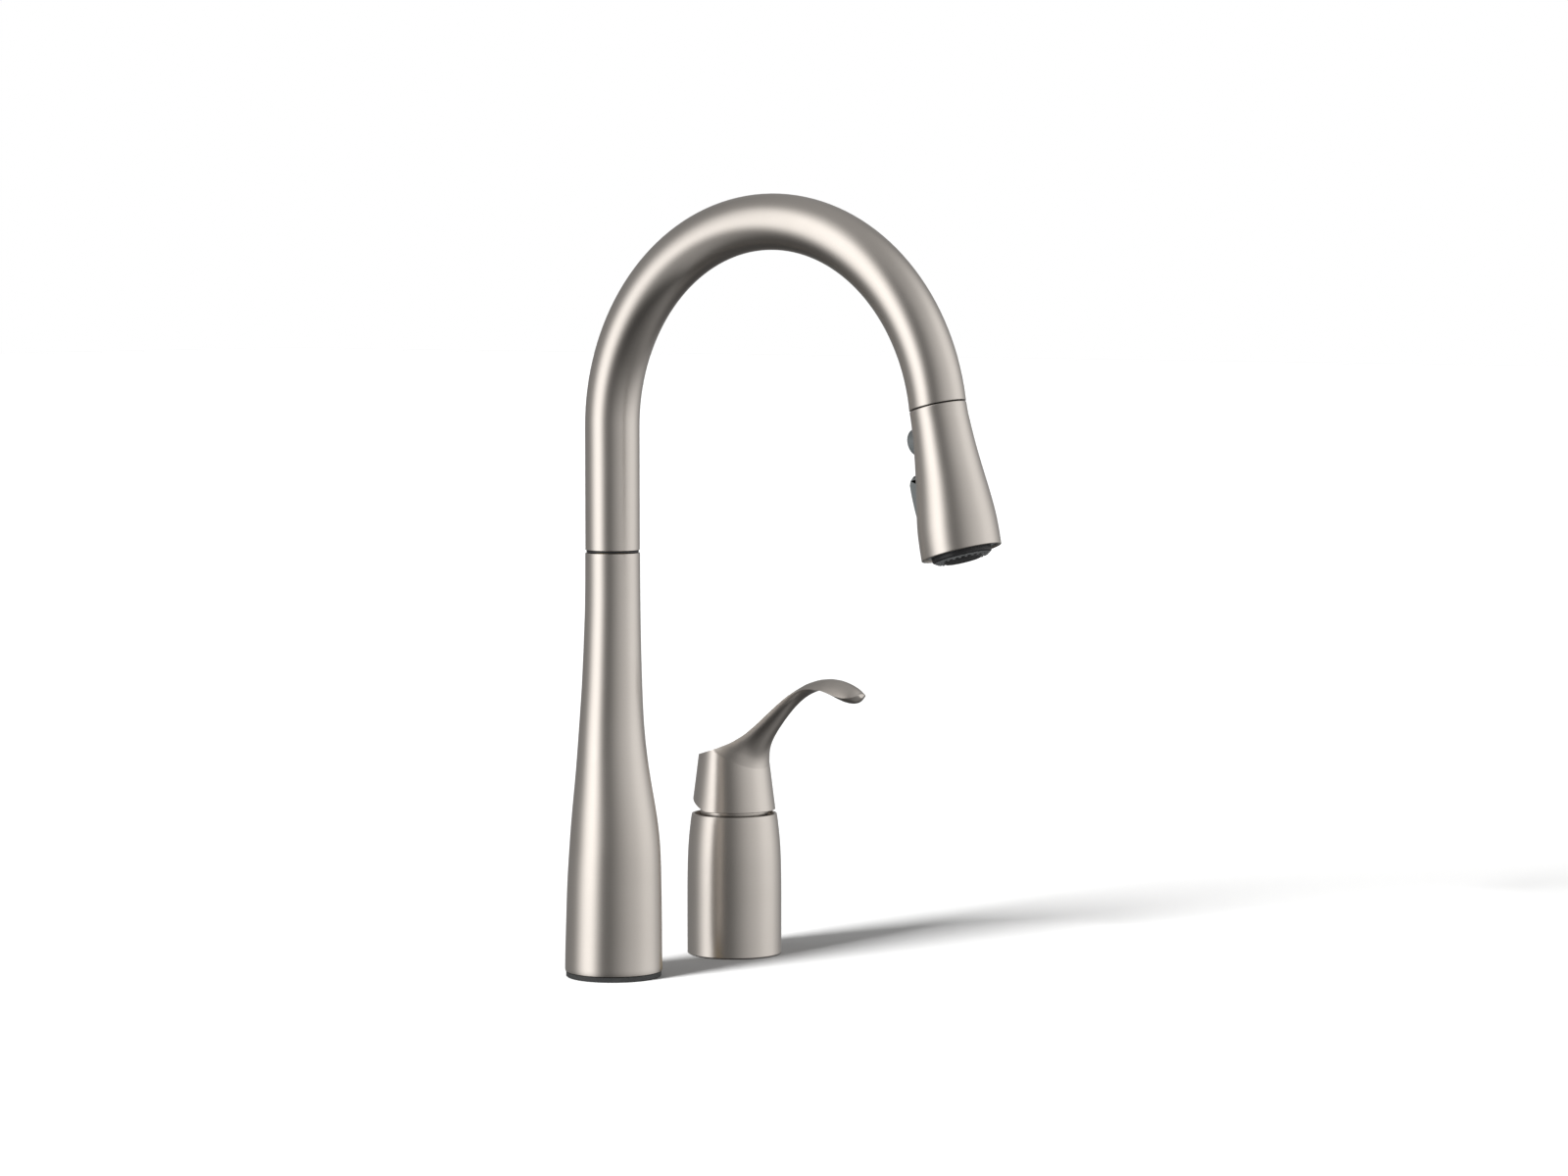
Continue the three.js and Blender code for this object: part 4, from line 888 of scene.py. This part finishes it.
def capCavity(index, height, radius):
    angle = 2 * math.pi * index / handle["sides"]
    return Vector((radius * math.cos(angle), radius * math.sin(angle), height))


def handleLever():
    sides, steps = handle["sides"], handle["wallSteps"]
    ringRows = smoothRows(handle["rings"], 4)
    rim = [handleRing(ringRows[0], k) for k in range(sides)]
    foot = [capFoot(k) for k in range(sides)]
    rings = [[capCavity(k, handle["ceiling"], handle["ceilingHole"]) for k in range(sides)],
             [capCavity(k, handle["ceiling"], handle["ceilingRadius"]) for k in range(sides)],
             [capFoot(k, handle["wall"]) for k in range(sides)],
             [capFoot(k, handle["footInset"]) for k in range(sides)],
             [low + Vector((0, 0, handle["footLift"])) for low in foot]]
    rings += [[low.lerp(high, i / steps) for low, high in zip(foot, rim)] for i in range(1, steps)]
    rings += [[low.lerp(high, handle["lastShare"]) for low, high in zip(foot, rim)]]
    rings += [[handleRing(row, k) for k in range(sides)] for row in ringRows]
    bm = bmesh.new()
    rows = bm.verts.layers.float.new("grainRow")
    first = ring = startRing(bm, Matrix.Scale(mm, 4), sides)
    order = sorted({vert for edge in ring for vert in edge.verts},
                   key=lambda vert: round(math.atan2(vert.co.y, vert.co.x) % math.tau, 4) % 6.283)
    run = 0.0
    for vert, spot in zip(order, rings[0]):
        vert.co = spot * mm
    for before, spots in zip(rings, rings[1:]):
        pairs = {vert: k for k, vert in enumerate(order)}
        fresh, ring = growRing(bm, ring)
        run += (sum(spots, Vector()) - sum(before, Vector())).length / sides
        placed = [None] * sides
        for vert in fresh:
            old = next(edge.other_vert(vert) for edge in vert.link_edges if edge.other_vert(vert) in pairs)
            placed[pairs[old]] = vert
        for vert, spot in zip(placed, spots):
            vert.co = spot * mm
            vert[rows] = run
        order = placed
    bmesh.ops.holes_fill(bm, edges=first + ring, sides=0)
    bmesh.ops.recalc_face_normals(bm, faces=bm.faces)
    roundRims(bm, handle["edge"], 33, 2)
    bm = moved(bm, Matrix.Translation((valveX * mm, 0, 0)))
    low, high, width = handle["screwFrom"], handle["screwTo"], handle["screwHole"]
    hole = moved(turned([[0, low], [width, low], [width, high], [0, high]], 40, 0),
                 Matrix.Translation((valveX * mm, 0, handle["screwHeight"] * mm)) @ backwards)
    return addPiece(carve(bm, hole), "handleLever", "lever", nickel, ["handle_lever"], 34)


handleLever()
print("valve made")


# CAD parts that stay, each in its slot's finish

slotOf = {entry["node"]: entry["material_slot"] for entry in frame["record"]["subparts"]}
for name, node in frame["nodes"].items():
    finish = slotFinishes[slotOf[name]]
    if not node.material_slots:
        node.data.materials.append(finish)
    for holder in node.material_slots:
        holder.material = finish


# studio: white floor and backdrop, soft light by direction

studio = {"cameraAt": (-1.7763, -1.5122, 0.3694), "cameraTurn": (85.97, 0, -51.8), "lens": 102.23,
          "shadowFrom": (-0.988, 0.153), "shadowHeight": 24, "shadowStrength": 15.5, "shadowSoftness": 20,
          "floorSize": 14, "backdropRadius": 20, "white": 1.0}


def addCamera():
    camera = bpy.data.objects.new("camera", bpy.data.cameras.new("camera"))
    scene.collection.objects.link(camera)
    camera.data.lens = studio["lens"]
    camera.data.sensor_width = 36
    camera.data.clip_end = 100
    camera.location = studio["cameraAt"]
    camera.rotation_euler = [math.radians(angle) for angle in studio["cameraTurn"]]
    scene.camera = camera


def addFloor():
    mesh = bpy.data.meshes.new("floor")
    bm = bmesh.new()
    bmesh.ops.create_grid(bm, x_segments=4, y_segments=4, size=studio["floorSize"])
    bm.to_mesh(mesh)
    bm.free()
    floor = bpy.data.objects.new("floor", mesh)
    scene.collection.objects.link(floor)
    finish, start, place, feed = newFinish("floorPaint", {"Base Color": (0.45, 0.45, 0.45, 1),
                                                          "Roughness": 0.9,
                                                          "Specular IOR Level": 0.1})
    speckle = start.noise(place, 2.0, 3.0, 0.6)
    feed(Base_Color=speckle.blend((0.44, 0.44, 0.44, 1), (0.46, 0.46, 0.46, 1)))
    mesh.materials.append(finish)
    floor.visible_glossy = False
    floor.visible_shadow = False
    return floor


def addBackdrop():
    # a white shell round the set that only the camera sees
    mesh = bpy.data.meshes.new("backdrop")
    bm = bmesh.new()
    bmesh.ops.create_icosphere(bm, subdivisions=3, radius=studio["backdropRadius"])
    bm.to_mesh(mesh)
    bm.free()
    backdrop = bpy.data.objects.new("backdrop", mesh)
    scene.collection.objects.link(backdrop)
    finish = newFinish("backdropPaint", {"Base Color": (0, 0, 0, 1), "Roughness": 1.0,
                                         "Specular IOR Level": 0.0,
                                         "Emission Color": (1, 1, 1, 1),
                                         "Emission Strength": studio["white"]})[0]
    mesh.materials.append(finish)
    for ray in ("diffuse", "glossy", "transmission", "volume_scatter", "shadow"):
        setattr(backdrop, "visible_" + ray, False)


def addShadowLight(floor):
    # low light from the left that throws the long soft shadow, on the floor only
    data = bpy.data.lights.new("shadowLight", "SUN")
    data.energy = studio["shadowStrength"]
    data.angle = math.radians(studio["shadowSoftness"])
    lamp = bpy.data.objects.new("shadowLight", data)
    scene.collection.objects.link(lamp)
    east, north = studio["shadowFrom"]
    rise = math.radians(studio["shadowHeight"])
    towards = Vector((east * math.cos(rise), north * math.cos(rise), math.sin(rise)))
    lamp.rotation_euler = towards.to_track_quat("Z", "Y").to_euler()
    lit = bpy.data.collections.new("litFloor")
    lit.objects.link(floor)
    lamp.light_linking.receiver_collection = lit


# brightness round the horizon: degrees to the right of the camera's own direction, and value
softLight = {"round": [[-180, 0.35], [-150, 0.27], [-122, 0.3], [-102, 0.35], [-89, 0.9], [-76, 1.75],
                       [-60, 2.1],
                       [-50, 2.0], [-40, 0.9], [-28, 0.18], [-8, 0.17], [15, 0.45], [38, 0.7], [60, 0.85],
                       [82, 1.15],
                       [106, 1.15], [125, 0.7], [150, 0.3], [180, 0.35]],
             "below": 0.22, "fadeLow": -0.5, "fadeHigh": -0.12, "over": 0.43, "overFrom": 0.6,
             "warm": (1.0, 0.995, 0.988)}


def addSoftLight():
    world = bpy.data.worlds.new("softLight")
    scene.world = world
    world.use_nodes = True
    tree = world.node_tree
    start = Strand(tree)
    place = start.node("ShaderNodeTexCoord")
    east = start.node("ShaderNodeSeparateXYZ", None, {0: place}, out=0)
    north = start.node("ShaderNodeSeparateXYZ", None, {0: place}, out=1)
    height = start.node("ShaderNodeSeparateXYZ", None, {0: place}, out=2)
    facing = math.radians(studio["cameraTurn"][2])
    right = (math.cos(facing), math.sin(facing))
    sideways = east * right[0] + north * right[1]
    nearness = east * right[1] - north * right[0]
    turn = sideways.math("ARCTAN2", sideways, nearness) / math.tau + 0.5
    stops = [[(degrees + 180) / 360, (value / 2, value / 2, value / 2)] for degrees,
             value in softLight["round"]]
    ring = start.node("ShaderNodeValToRGB", {"stops": stops}, {"Fac": turn})
    level = ring.node("ShaderNodeSeparateColor", None, {0: ring}) * 2.0
    low = height.between(softLight["fadeLow"], softLight["fadeHigh"])
    shade = low * (1 - softLight["below"]) + softLight["below"]
    overhead = height.between(softLight["overFrom"], 0.98)
    brightness = level * (1 - overhead) * shade + overhead * softLight["over"]
    tree.links.new(brightness.socket, tree.nodes["Background"].inputs["Strength"])
    tree.nodes["Background"].inputs["Color"].default_value = (*softLight["warm"], 1)


addCamera()
floor = addFloor()
addBackdrop()
addShadowLight(floor)
addSoftLight()
scene.view_settings.view_transform = "Standard"
print("studio made")
